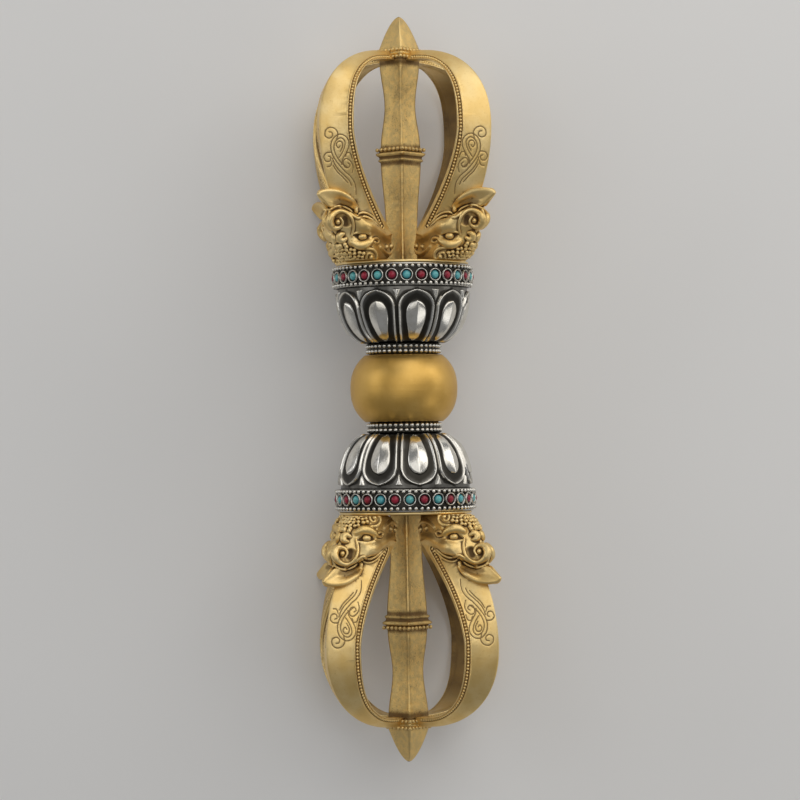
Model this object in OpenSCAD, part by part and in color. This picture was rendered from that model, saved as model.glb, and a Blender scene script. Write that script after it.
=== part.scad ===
// Five-pronged dorje vajra lying on its side, long axis along X, middle of the hub at the origin.
// Every piece is modelled upright about Z for one end; the other end is its mirror image.

/* [Hub] */
// Radius of the grip at its waist
hub_r = 15.8; // [12:0.1:20]
// Half height the grip would have without its two flats
hub_polar = 13.0; // [12:0.1:18]
// Fullness of the grip's outline, 2 is an ellipse
hub_square = 2.3; // [2:0.05:3]
// Distance from the middle to each flat
hub_flat = 9.8; // [8:0.1:11]

/* [Beaded collar] */
// Height of a collar
collar_h = 3.5; // [2.5:0.1:5]
// Radius over the beads
collar_r = 11.3; // [9:0.1:13]
// Beads in one row
collar_beads = 42; // [24:2:60]
// Radius of one bead
collar_bead_r = 0.62; // [0.4:0.02:0.8]
// Height of the row next to the hub, as a share of the collar
collar_row_low = 0.3; // [0.2:0.02:0.4]
// Height of the row next to the cup, as a share of the collar
collar_row_high = 0.72; // [0.6:0.02:0.8]

/* [Lotus cup] */
// Height from the collar to the rim
cup_h = 22.8; // [18:0.1:30]
// Radius of the plain dome at its widest
cup_r = 19.0; // [16:0.1:24]
// Radius of the dome where it stands on the collar
cup_neck_r = 9.6; // [8:0.1:12]
// Height of the dome, from the collar to the plain rim
dome_h = 15.6; // [12:0.1:18]
// Wall of the cup
cup_wall = 1.4; // [1:0.1:3]
// Floor of the cup, where the nut bears
cup_floor = 3.2; // [2:0.1:5]
// Petals around the dome
petals = 10; // [6:1:16]
// Share of the pitch that a petal takes
petal_share = 0.9; // [0.6:0.02:0.94]
// How far the petal rims stand off the dome
petal_rise = 1.0; // [0.5:0.05:1.4]
// Width of a petal's raised rim
petal_rim = 0.55; // [0.3:0.05:1]
// How far a petal's inner panel lies inside its edge
petal_panel = 2.4; // [1.5:0.05:3]
// How far that panel stands off the dome
panel_rise = 1.1; // [0.5:0.05:1.5]
// Share of a petal's length at which it starts to round over
petal_round_at = 0.68; // [0.5:0.02:0.8]
// Gap between a petal's foot and the collar
petal_foot = 0.3; // [0.1:0.05:1]
// Plain strip between the petals and the band
petal_strip = 0.6; // [0.3:0.05:1.5]
// Turn of the petals from the middle between two prongs
petal_phase = 9; // [0:0.5:18]

/* [Stone band] */
// Height of the band
band_h = 6.6; // [5:0.1:9]
// Outer radius of the band's plain wall
band_r = 20.1; // [18:0.1:24]
// Beads in one row
band_beads = 72; // [40:2:90]
// Radius of one bead
band_bead_r = 0.58; // [0.4:0.02:0.8]
// How far the middle of a bead stands off the band's wall
band_row_out = 0.25; // [0:0.05:0.4]
// Plain edge of the band beside the row next to the petals
band_edge_low = 0.1; // [0.05:0.05:0.5]
// Plain edge of the band beside the row next to the plate
band_edge_high = 0.4; // [0.05:0.05:0.8]
// Stones around the band, half of each colour
stones = 30; // [16:2:40]
// How far the stones sit below the middle of the band
stone_drop = 0.3; // [0:0.05:0.6]
// Outer diameter of a bezel
bezel_d = 3.7; // [2.5:0.1:4]
// How far a bezel stands off the band
bezel_rise = 0.75; // [0.4:0.05:1.5]
// Wall of a bezel
bezel_wall = 0.3; // [0.2:0.05:0.6]
// Gap between a stone and its bezel
stone_gap = 0.25; // [0.05:0.05:0.4]
// How far a stone stands above its bezel
stone_rise = 0.3; // [0.1:0.05:0.8]

/* [Prong plate] */
// Thickness of the plate's visible rim
plate_t = 0.9; // [0.6:0.05:2]
// Radius of the plate's rim
plate_r = 19.5; // [17:0.1:23]
// Depth of the spigot that centres the plate in the cup
spigot_h = 2.0; // [1:0.1:4]

/* [Center prong] */
// Height of the point above the plate
point_h = 73; // [60:0.5:90]
// Half diagonal of the square foot
foot_diag = 4.7; // [3.8:0.1:6]
// Half diagonal where the shaft is fullest
lobe_diag = 6.1; // [4.5:0.1:7]
// Half diagonal of the narrow waist above the ring
waist_diag = 4.7; // [3.5:0.1:6]
// Half diagonal of the ring
ring_diag = 7.6; // [6.5:0.1:9]
// Height of the middle of the ring above the plate
ring_at = 32.1; // [26:0.1:38]
// Height of the ring
ring_h = 4.4; // [3:0.1:6]
// Height of the waist above the plate
waist_at = 46.4; // [40:0.1:52]
// Height of the band that the curved prongs meet
meet_h = 3.2; // [2:0.1:5]
// Height of the pointed tip
tip_h = 9.7; // [7:0.1:13]

/* [Curved prongs] */
// Radius of the outer ridge at its widest
bulge_r = 35; // [28:0.1:42]
// Height of the widest place above the plate
bulge_h = 38; // [32:0.1:44]
// Depth of a prong there, ridge to inner face
arm_depth = 7.3; // [5:0.1:9]
// Depth of a prong where it meets the center prong
arm_end_depth = 3.0; // [2:0.1:5]
// Half width of a prong's inner face
arm_half_w = 6.9; // [4:0.1:8]
// Half width where it meets the center prong
arm_end_half_w = 3.4; // [2:0.1:4.2]
// Half width of the rounded ridge
ridge_half_w = 1.1; // [0.5:0.1:2]
// Squareness of the ridge's curve above the bulge, 2 is an ellipse
ridge_square = 2.25; // [2:0.05:3]
// Squareness of the inner curve above the bulge
inner_square = 2.55; // [2:0.05:3]
// Height in the mouth at which a prong starts, above the plate
mouth_h = 9; // [7:0.1:11]
// Share of the bulge radius that the ridge loses down to the mouth
ridge_fall = 0.283; // [0.2:0.005:0.35]
// Share of the inner radius that the inner face loses down to the mouth
inner_fall = 0.595; // [0.5:0.005:0.65]
// How late that loss comes, 2 is a parabola
inner_bend = 1.63; // [1.4:0.01:2]
// Share of its width that a prong loses down to the mouth
mouth_taper = 0.2; // [0:0.02:0.4]
// How far a prong ends below the foot of the pointed tip
arm_drop = 0.8; // [0.2:0.1:2]

/* [Sea-dragon heads] */
// Height of a head above the plate, to the top of its ear
head_h = 16.5; // [13:0.1:20]
// Radius of the back of a head at its ear
head_back_r = 33; // [30:0.1:36]
// Radius of the tip of the nose
nose_r = 6.0; // [5.7:0.1:9]
// Half width of a head at its cheeks
cheek_half_w = 7.3; // [6:0.1:9]
// Radius of the tip of the beard fin
fin_r = 36.3; // [34:0.1:39]
// Height of the tip of the beard fin above the plate
fin_h = 18.4; // [16:0.1:22]
// Radius of the ear's spiral
ear_r = 3.4; // [2:0.1:4.5]
// Radius of the tenon that is brazed into the plate
tenon_r = 2.4; // [1.5:0.1:3.5]
// Radius from the axis at which the tenon stands
tenon_at = 14.5; // [12:0.1:16]
// How far the tenon reaches up into the head
tenon_in = 3; // [1:0.1:5]

/* [Tie rod] */
// Radius of the threaded rod through the hub
rod_r = 2.0; // [1.5:0.1:2.2]
// How far the rod screws into a center prong
rod_grip = 9; // [6:0.1:14]
// Width of a nut across its flats
nut_af = 7; // [6:0.1:10]
// Height of a nut
nut_h = 3.2; // [2:0.1:5]

/* [Fits] */
// Gap around the rod in its threads and holes
rod_gap = 0.1; // [0.05:0.05:0.3]
// Gap between a fitted piece and its seat
seat_gap = 0.1; // [0.05:0.05:0.3]

/* [Hidden] */
$fn = 64;
collar_z = hub_flat;
cup_z = collar_z + collar_h;
rim_z = cup_z + cup_h;
band_z = rim_z - band_h;
plate_z = rim_z + plate_t;
rod_half = plate_z + rod_grip;
rod_hole = rod_r + rod_gap;
floor_z = cup_z + cup_floor;
stone_z = band_z + band_h / 2 - stone_drop;
collar_row_r = collar_r - collar_bead_r;
collar_core_r = collar_row_r + collar_bead_r / 5;
collar_rows = [collar_z + collar_h * collar_row_low, collar_z + collar_h * collar_row_high];
band_row_r = band_r + band_row_out;
band_rows = [band_z + band_bead_r + band_edge_low, rim_z - band_bead_r - band_edge_high];
stone_r = bezel_d / 2 - bezel_wall - stone_gap;
cup_sleeve_r = band_r - cup_wall;
sleeve_fit_r = cup_sleeve_r - seat_gap;
sleeve_step = 0.5;
dome_power = 2.1;
tip_power = 0.72;
foot_power = 1.8;
spigot_r = sleeve_fit_r - cup_wall - seat_gap;
petal_pitch = 360 / petals;
petal_len = dome_h - petal_strip;
side = 1 / sqrt(2);
meet_z = point_h - tip_h - meet_h;
arm_end_r = lobe_diag * side + seat_gap;
arm_top = point_h - tip_h - arm_drop;
inner_r = bulge_r - arm_depth;
arm_steps = 22;
head_steps = 9;
metal_gold = [0.83, 0.66, 0.36];
metal_silver = [0.62, 0.62, 0.6];
turquoise = [0.24, 0.63, 0.66];
coral = [0.58, 0.1, 0.16];

// Lays the upright vajra on its side, upper end toward +X
module lay() {
    rotate([0, 90, 0]) rotate([0, 0, 180]) children();
}

// Puts an end's piece at the upper or the lower end
module at_end(e) {
    lay() mirror([0, 0, e == "lower" ? 1 : 0]) children();
}

// Eases from a to b as t runs from 0 to 1
function ease(a, b, t) = a + (b - a) * (1 - cos(180 * t)) / 2;

// Radius of the grip at a height from its middle
function hub_at(z) = hub_r * pow(1 - pow(abs(z) / hub_polar, hub_square), 1 / hub_square);

// Radius of the plain dome at a height above the collar
function dome_r(h) =
    let (t = max(0, 1 - h / dome_h))
    cup_neck_r + (cup_r - cup_neck_r) * sqrt(1 - pow(t, dome_power));

// Profile of the dome grown outward by a distance, closer points near the neck
function dome_line(grow) = [for (i = [0 : 10]) let (h = dome_h * pow(i / 10, 1.6)) [dome_r(h) + grow, h]];

// Half width of a petal at a share of its length: a sector that ends in a round
function petal_half(t) =
    let (r = dome_r(t * petal_len) + petal_rise, over = max(0, (t - petal_round_at) / (1 - petal_round_at)))
    r * tan(petal_pitch / 2) * petal_share * sqrt(1 - pow(over, 2));

// Outline of one petal, seen from outside, drawn in toward its middle by an inset
function petal_outline(inset) =
    let (ts = [0, 0.25, 0.5, petal_round_at, 0.8, 0.9, 0.965], kx = 1 - inset / petal_half(petal_round_at),
        kh = 1 - inset / petal_len * 2, mid = petal_len * 0.55)
    [for (p = concat([for (t = ts) [petal_half(t), t]], [[0, 1]],
        [for (i = [len(ts) - 1 : -1 : 0]) [-petal_half(ts[i]), ts[i]]]))
        [p[0] * kx, mid + (petal_foot + p[1] * (petal_len - petal_foot) - mid) * kh]];

// Outer ridge of a curved prong as [radius, height], u from -1 in the mouth through 0 at the bulge to 1
function ridge_pt(u) = u < 0
    ? [bulge_r - ridge_fall * bulge_r * u * u, bulge_h + u * (bulge_h - mouth_h)]
    : [arm_end_r + (bulge_r - arm_end_r) * pow(max(0, cos(90 * u)), 2 / ridge_square),
       bulge_h + (arm_top - bulge_h) * pow(sin(90 * u), 2 / ridge_square)];

// Inner edge of a curved prong, in the same way
function inner_pt(u) = u < 0
    ? [inner_r - inner_fall * inner_r * pow(-u, inner_bend), bulge_h + u * (bulge_h - mouth_h)]
    : [arm_end_r + (inner_r - arm_end_r) * pow(max(0, cos(90 * u)), 2 / inner_square),
       bulge_h + (arm_top - arm_end_depth - bulge_h) * pow(sin(90 * u), 2 / inner_square)];

// Half width of a curved prong's inner face
function arm_w(u) = u < 0 ? arm_half_w * (1 - mouth_taper * u * u) : ease(arm_half_w, arm_end_half_w, u);

// One section of a curved prong: flat inner face, two broad faces, rounded ridge
function arm_section(u) =
    let (a = inner_pt(u), b = ridge_pt(u), w = arm_w(u), k = min(ridge_half_w, w * 0.3))
    [for (p = [[0, -w], [0.13, -w], [0.9, -k], [1, 0], [0.9, k], [0.13, w], [0, w]])
        let (q = a + (b - a) * p[0]) [q[0], p[1], q[1]]];

// Outline of a head at a share of its height: radius at the front, radius at the back, half width
function head_front(t) = nose_r + lookup(t, [[0, 4.5], [0.12, 1.6], [0.28, 0], [0.42, 0.2], [0.55, 3],
    [0.66, 9], [0.76, 14.5], [0.88, 19.5], [1, 23]]);
function head_back(t) = head_back_r * lookup(t, [[0, 0.68], [0.12, 0.765], [0.3, 0.85], [0.45, 0.885],
    [0.56, 0.965], [0.66, 0.995], [0.76, 1], [0.88, 0.955], [1, 0.945]]);
function head_w(t) = cheek_half_w * lookup(t, [[0, 0.78], [0.15, 0.92], [0.4, 0.97], [0.6, 1], [0.8, 0.98],
    [1, 0.86]]);

// Half of a level section of a head: from the back, along the cheek and the snout, to the nose
function head_half(f, b, w) =
    let (m = b - w * 1.05)
    [[b, 0], [b - 0.5, 1], [b - w * 0.55, w * 0.56], [m, w * 0.97], [m - (m - f) * 0.35, w * 0.86],
        [m - (m - f) * 0.7, w * 0.61], [f + 0.6, min(2.4, w * 0.5)], [f, 0]];

// One level section of a head, nose toward the axis and wedge-shaped behind
function head_section(t) =
    let (f = head_front(t), b = head_back(t), w = min(head_w(t), (b - f) * 0.45), s = head_half(f, b, w))
    concat([for (i = [0 : 7]) [s[i][0], s[i][1], t * head_h]],
        [for (i = [6 : -1 : 1]) [s[i][0], -s[i][1], t * head_h]]);

// Skins a stack of sections that all have the same number of points
module loft(rows) {
    n = len(rows[0]);
    m = len(rows);
    polyhedron(
        points = [for (r = rows) for (p = r) p],
        faces = concat(
            [[for (i = [0 : n - 1]) i]],
            [for (j = [0 : m - 2]) for (i = [0 : n - 1]) [j * n + i, j * n + n + i, j * n + (i + 1) % n]],
            [for (j = [0 : m - 2]) for (i = [0 : n - 1])
                [j * n + (i + 1) % n, j * n + n + i, j * n + n + (i + 1) % n]],
            [[for (i = [n - 1 : -1 : 0]) (m - 1) * n + i]]));
}

// A row of round granules around the axis
module bead_row(n, r, bead, z) {
    for (i = [0 : n - 1]) {
        rotate([0, 0, i * 360 / n]) translate([r, 0, z]) sphere(r = bead);
    }
}

// The groove that a row of granules lies in
module bead_groove(r, bead, z) {
    rotate_extrude() translate([r, z]) circle(r = bead + seat_gap / 2, $fn = 32);
}

// Puts children on the band's face at every stone, or at every second one
module at_stones(first, step) {
    for (i = [first : step : stones - 1]) {
        rotate([0, 0, i * 360 / stones]) translate([band_r + seat_gap / 2, 0, stone_z])
            rotate([0, 90, 0]) children();
    }
}

// Satin gold grip, an oblate ball with a flat at each end
module hub() {
    color(metal_gold) lay() difference() {
        rotate_extrude() polygon(concat(
            [[0, -hub_flat]],
            [for (i = [0 : 24]) let (z = hub_flat * (i / 12 - 1)) [hub_at(z), z]],
            [[0, hub_flat]]));
        translate([0, 0, -hub_flat - 1]) cylinder(h = hub_flat * 2 + 2, r = rod_hole);
    }
}

// Threaded rod that holds the two ends to the hub
module tie_rod() {
    color([0.55, 0.55, 0.55]) lay() translate([0, 0, -rod_half]) cylinder(h = rod_half * 2, r = rod_r);
}

// Nut inside a cup
module nut(e) {
    color([0.55, 0.55, 0.55]) at_end(e) translate([0, 0, floor_z]) difference() {
        cylinder(h = nut_h, r = nut_af / sqrt(3), $fn = 6);
        translate([0, 0, -1]) cylinder(h = nut_h + 2, r = rod_hole);
    }
}

// Silver collar with two grooves for its granules
module collar(e) {
    color(metal_silver) at_end(e) difference() {
        translate([0, 0, collar_z]) cylinder(h = collar_h, r = collar_core_r);
        translate([0, 0, collar_z - 1]) cylinder(h = collar_h + 2, r = rod_hole);
        for (z = collar_rows) {
            bead_groove(collar_row_r, collar_bead_r, z);
        }
    }
}

// The granules of a collar
module collar_granules(e) {
    color(metal_silver) at_end(e) for (z = collar_rows) {
        bead_row(collar_beads, collar_row_r, collar_bead_r, z);
    }
}

// A layer over the dome between two distances from its plain surface
module dome_layer(low, high) {
    rotate_extrude() polygon(concat(dome_line(high), [for (i = [10 : -1 : 0]) dome_line(low)[i]]));
}

// A radial prism in the outline of a petal
module petal_prism(inset) {
    rotate([90, 0, 90]) translate([0, 0, cup_neck_r * 0.6]) linear_extrude(height = cup_r)
        polygon(petal_outline(inset));
}

// One petal: raised rim, sunk ground and raised inner panel
module petal() {
    intersection() {
        dome_layer(-cup_wall / 2, petal_rise);
        difference() {
            petal_prism(0);
            petal_prism(petal_rim);
        }
    }
    intersection() {
        dome_layer(-cup_wall / 2, panel_rise);
        petal_prism(petal_panel);
    }
}

// Oxidised silver cup with a ring of lotus petals
module lotus_cup(e) {
    color(metal_silver) at_end(e) translate([0, 0, cup_z]) {
        difference() {
            rotate_extrude() polygon(concat([[0, 0]], dome_line(0),
                [[sleeve_fit_r, dome_h + sleeve_step], [sleeve_fit_r, cup_h], [0, cup_h]]));
            rotate_extrude() polygon(concat([[0, cup_floor], [dome_r(cup_floor) - cup_wall, cup_floor]],
                [for (p = dome_line(-cup_wall)) if (p[1] > cup_floor) p],
                [[sleeve_fit_r - cup_wall, cup_h + 1], [0, cup_h + 1]]));
            translate([0, 0, -1]) cylinder(h = cup_floor + 2, r = rod_hole);
        }
        for (i = [0 : petals - 1]) {
            rotate([0, 0, petal_phase + i * petal_pitch]) petal();
        }
    }
}

// Silver band with a groove for granules near each edge
module stone_band(e) {
    color(metal_silver) at_end(e) difference() {
        translate([0, 0, band_z]) cylinder(h = band_h, r = band_r);
        translate([0, 0, band_z - 1]) cylinder(h = band_h + 2, r = cup_sleeve_r);
        for (z = band_rows) {
            bead_groove(band_row_r, band_bead_r, z);
        }
    }
}

// The granules of a stone band
module band_granules(e) {
    color(metal_silver) at_end(e) for (z = band_rows) {
        bead_row(band_beads, band_row_r, band_bead_r, z);
    }
}

// Thin silver cups that hold the stones
module bezels(e) {
    color(metal_silver) at_end(e) at_stones(0, 1) difference() {
        cylinder(h = bezel_rise, r = bezel_d / 2);
        translate([0, 0, -1]) cylinder(h = bezel_rise + 2, r = bezel_d / 2 - bezel_wall);
    }
}

// Domed stones, every second one around the band
module stone_set(e, first, tint) {
    color(tint) at_end(e) at_stones(first, 2) intersection() {
        cylinder(h = bezel_rise + stone_rise, r = stone_r);
        translate([0, 0, bezel_rise + stone_rise - stone_r * 1.5]) sphere(r = stone_r * 1.5);
    }
}

// Gold plate that closes a cup and carries the prongs
module prong_plate(e) {
    color(metal_gold) at_end(e) difference() {
        union() {
            translate([0, 0, rim_z]) cylinder(h = plate_t, r = plate_r);
            translate([0, 0, rim_z - spigot_h]) cylinder(h = spigot_h + plate_t, r = spigot_r);
        }
        translate([0, 0, rim_z - spigot_h - 1]) cylinder(h = spigot_h + plate_t + 2, r = rod_hole);
        for (i = [0 : 3]) {
            rotate([0, 0, 45 + i * 90]) translate([tenon_at, 0, rim_z - spigot_h - 1])
                cylinder(h = spigot_h + plate_t + 2, r = tenon_r + seat_gap);
        }
    }
}

// Half width of the center prong's faces, as points up its height
function shaft_line() =
    let (low = ring_at - ring_h / 2, high = ring_at + ring_h / 2)
    concat(
        [for (i = [0 : 10]) let (t = i / 10)
            [ease(foot_diag, lobe_diag, pow(t, foot_power)) * side, low * t]],
        [for (i = [0 : 6]) let (t = i / 6)
            [(lobe_diag + (ring_diag - lobe_diag) * sqrt(sin(180 * t))) * side,
                low + ring_h * (0.1 + 0.8 * t)]],
        [for (i = [0 : 8]) let (t = i / 8)
            [ease(lobe_diag, waist_diag, t) * side, high + (waist_at - high) * t]],
        [for (i = [1 : 8]) let (t = i / 8)
            [ease(waist_diag, lobe_diag, t) * side, waist_at + (meet_z - waist_at) * t]],
        [[lobe_diag * side * 0.9, meet_z + meet_h * 0.1], [lobe_diag * side, meet_z + meet_h * 0.3],
            [lobe_diag * side, meet_z + meet_h]],
        [for (i = [1 : 9]) let (t = i / 9)
            [lobe_diag * side * pow(1 - t, tip_power), point_h - tip_h + tip_h * t]]);

// The center prong's outline on one pair of faces
module shaft_slab() {
    line = shaft_line();
    n = len(line) - 1;
    rotate([90, 0, 0]) translate([0, 0, -ring_diag * 2]) linear_extrude(height = ring_diag * 4)
        polygon(concat(line, [for (i = [n - 1 : -1 : 0]) [-line[i][0], line[i][1]]]));
}

// Square center prong with its ring and point, screwed down on the rod
module center_prong(e) {
    color(metal_gold) at_end(e) translate([0, 0, plate_z]) difference() {
        rotate([0, 0, 45]) intersection() {
            shaft_slab();
            rotate([0, 0, 90]) shaft_slab();
        }
        translate([0, 0, -1]) cylinder(h = rod_grip + 1.5, r = rod_hole);
    }
}

// A ball for the cast ornament, coarse because it is one of many
module knob(p, r) {
    translate(p) rotate([0, 90, 0]) sphere(r = r * 1.1, $fn = 6);
}

// A rounded bar between two places on one side of a head
module bar(p, q, r1, r2) {
    hull() {
        knob(p, r1);
        knob(q, r2);
    }
}

// Half of the beard fin: a leaf from the mouth's corner, over its lower and upper edge, to its tip
module fin_leaf(corner, low, high, tip) {
    hull() {
        knob(corner, 0.7);
        knob(low, 1);
        knob(high, 1);
        knob(tip, 0.4);
    }
}

// The ornament on one side of a head: nostril, brow, mane, lip, ear spiral and half of the beard fin
module head_side() {
    w = cheek_half_w;
    nostril = [nose_r + 0.7, 1.4, 4.7];
    brow = [[head_back_r - 12.2, w - 1.4, 4.9], [head_back_r - 7.6, w - 2.3, 5]];
    mane = [[nose_r + 13, w - 2, 1.7], [head_back_r - 7, w - 4.4, 4.4]];
    lip = [[nose_r + 4.6, 4.6, 8.8], [nose_r + 14.5, w - 0.3, 12], [head_back_r - 6.6, w - 0.5, 11.9]];
    ear = [head_back_r - 2.9, 2.7, 11.3];
    fin = [[head_back_r - 9.2, w - 3.9, 15], [head_back_r - 3.2, 1.2, fin_h + 1],
        [head_back_r - 2.8, 1.5, fin_h - 2.2]];
    knob(nostril, 1.2);
    bar(brow[0], brow[1], 1.1, 1.5);
    bar(mane[0], mane[1], 1.6, 1.5);
    bar(lip[0], lip[1], 0.6, 0.7);
    bar(lip[1], lip[2], 0.7, 0.7);
    translate(ear) rotate([0, 90, 45])
        cylinder(h = 1.8, r1 = ear_r, r2 = ear_r - 0.6, center = true, $fn = 12);
    fin_leaf(fin[0], fin[1], fin[2], [fin_r - 0.35, 0, fin_h]);
}

// One curved prong: a cast sea-dragon head with the prong coming out of its mouth
module curved_prong(e, k) {
    color(metal_gold) at_end(e) rotate([0, 0, k * 90 - 45]) translate([0, 0, plate_z]) {
        difference() {
            union() {
                loft([for (j = [0 : arm_steps]) arm_section(-1 + 2 * j / arm_steps)]);
                loft([for (j = [0 : head_steps]) head_section(j / head_steps)]);
                head_side();
                mirror([0, 1, 0]) head_side();
            }
            translate([0, -50, -20]) cube([100, 100, 20]);
        }
        translate([tenon_at, 0, -plate_t - spigot_h])
            cylinder(h = plate_t + spigot_h + tenon_in, r = tenon_r, $fn = 16);
    }
}

hub();
tie_rod();
nut("upper");  // upper_nut
nut("lower");  // lower_nut
collar("upper");  // upper_collar
collar("lower");  // lower_collar
collar_granules("upper");  // upper_collar_granules
collar_granules("lower");  // lower_collar_granules
band_granules("upper");  // upper_band_granules
band_granules("lower");  // lower_band_granules
lotus_cup("upper");  // upper_lotus_cup
lotus_cup("lower");  // lower_lotus_cup
stone_band("upper");  // upper_stone_band
stone_band("lower");  // lower_stone_band
bezels("upper");  // upper_bezels
bezels("lower");  // lower_bezels
stone_set("upper", 0, turquoise);  // upper_turquoise_stones
stone_set("lower", 0, turquoise);  // lower_turquoise_stones
stone_set("upper", 1, coral);  // upper_coral_stones
stone_set("lower", 1, coral);  // lower_coral_stones
prong_plate("upper");  // upper_prong_plate
prong_plate("lower");  // lower_prong_plate
center_prong("upper");  // upper_center_prong
center_prong("lower");  // lower_center_prong
curved_prong("upper", 1);  // upper_curved_prong_1
curved_prong("upper", 2);  // upper_curved_prong_2
curved_prong("upper", 3);  // upper_curved_prong_3
curved_prong("upper", 4);  // upper_curved_prong_4
curved_prong("lower", 1);  // lower_curved_prong_1
curved_prong("lower", 2);  // lower_curved_prong_2
curved_prong("lower", 3);  // lower_curved_prong_3
curved_prong("lower", 4);  // lower_curved_prong_4
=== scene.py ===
import math

import bpy
import numpy as np
from mathutils import Matrix, Vector


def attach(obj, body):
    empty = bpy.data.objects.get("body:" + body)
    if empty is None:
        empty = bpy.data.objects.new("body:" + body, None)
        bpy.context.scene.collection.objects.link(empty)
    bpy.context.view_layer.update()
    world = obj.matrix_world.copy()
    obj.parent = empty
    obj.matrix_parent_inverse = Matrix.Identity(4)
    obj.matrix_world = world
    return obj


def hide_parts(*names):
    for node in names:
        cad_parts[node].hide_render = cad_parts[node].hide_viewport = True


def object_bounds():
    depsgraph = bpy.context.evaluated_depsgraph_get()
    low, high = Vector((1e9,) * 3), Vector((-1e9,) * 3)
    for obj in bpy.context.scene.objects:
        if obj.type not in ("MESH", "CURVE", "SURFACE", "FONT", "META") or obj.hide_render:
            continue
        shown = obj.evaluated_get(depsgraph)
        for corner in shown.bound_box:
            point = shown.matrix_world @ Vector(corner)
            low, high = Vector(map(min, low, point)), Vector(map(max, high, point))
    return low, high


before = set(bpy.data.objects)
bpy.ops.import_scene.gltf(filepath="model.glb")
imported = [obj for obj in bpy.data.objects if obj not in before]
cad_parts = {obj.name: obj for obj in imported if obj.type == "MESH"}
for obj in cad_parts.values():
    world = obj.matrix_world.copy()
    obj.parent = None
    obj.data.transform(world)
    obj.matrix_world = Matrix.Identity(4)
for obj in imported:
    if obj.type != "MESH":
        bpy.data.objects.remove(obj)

scene = bpy.context.scene
cad_box = [list(corner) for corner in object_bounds()]

# Sizes of the solids in millimetres, each end standing upright on the middle of the hub
HUB_R, HUB_POLAR, HUB_SQUARE, HUB_FLAT = 15.8, 13.0, 2.3, 9.8
COLLAR_H, COLLAR_R, COLLAR_BEADS, COLLAR_BEAD_R = 3.5, 11.3, 42, 0.62
CUP_Z, CUP_R, CUP_NECK_R, DOME_H = 13.3, 19.0, 9.6, 15.6
PETALS, PETAL_SHARE, PETAL_RISE, PETAL_PHASE = 10, 0.9, 1.0, 9.0
BAND_Z, RIM_Z, BAND_R, BAND_BEADS, BAND_BEAD_R = 29.5, 36.1, 20.1, 72, 0.58
STONES, STONE_Z, STONE_R, STONE_RISE = 30, 32.5, 1.27, 0.92
BEZEL_R, BEZEL_WIRE_R, HOOP_HEIGHTS = 1.7, 0.13, (0.15, 0.38, 0.58)
PLATE_Z, PLATE_R, ROD_HOLE_R = 37.0, 19.5, 2.1
POINT_H, FOOT_DIAG, LOBE_DIAG, WAIST_DIAG = 73.0, 4.7, 6.1, 4.7
RING_AT, RING_H, WAIST_AT, MEET_H, TIP_H = 32.1, 4.4, 46.4, 3.2, 9.7
BULGE_R, BULGE_H, ARM_DEPTH, ARM_END_DEPTH = 35.0, 38.0, 7.3, 3.0
ARM_HALF_W, ARM_END_HALF_W, ARM_END_TAPER, RIDGE_HALF_W = 6.9, 3.4, 1.3, 1.1
MOUTH_H, MOUTH_TUCK, ARM_TOP, ARM_END_R, STRIP_START = 9.0, 1.2, 62.5, 4.413, 3.0
ENDS = ("upper", "lower")


# Finishes

class Wire:
    """A number that runs through a finish; sums on it add Math nodes."""

    def __init__(self, finish, socket):
        self.finish, self.socket = finish, socket

    def work(self, operation, first, second):
        node = self.finish.node("ShaderNodeMath", {"operation": operation}, {0: first, 1: second})
        return Wire(self.finish, node.outputs[0])

    def __add__(self, other):
        return self.work("ADD", self, other)

    def __mul__(self, other):
        return self.work("MULTIPLY", self, other)

    def __sub__(self, other):
        return self.work("SUBTRACT", self, other)

    def __rsub__(self, other):
        return self.work("SUBTRACT", other, self)

    __radd__, __rmul__ = __add__, __mul__

    def over(self, low, high):
        """0 below low, 1 above high, eased between them."""
        node = self.finish.node("ShaderNodeMapRange", {"interpolation_type": "SMOOTHSTEP"},
                                {"Value": self, "From Min": low, "From Max": high})
        return Wire(self.finish, node.outputs["Result"])


class Nodes:
    """A node tree written as calls."""

    def node(self, kind, settings=None, sockets=None):
        node = self.tree.nodes.new(kind)
        for key, value in (settings or {}).items():
            setattr(node, key, value)
        for key, value in (sockets or {}).items():
            self.feed(node.inputs[key], value)
        return node

    def feed(self, socket, value):
        value = value.socket if isinstance(value, Wire) else value
        if isinstance(value, bpy.types.NodeSocket):
            self.tree.links.new(value, socket)
        else:
            socket.default_value = value


# Places of the colour sockets on a Mix node
MIX_SHARE, MIX_FIRST, MIX_SECOND, MIX_RESULT = 0, 6, 7, 2


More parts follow.
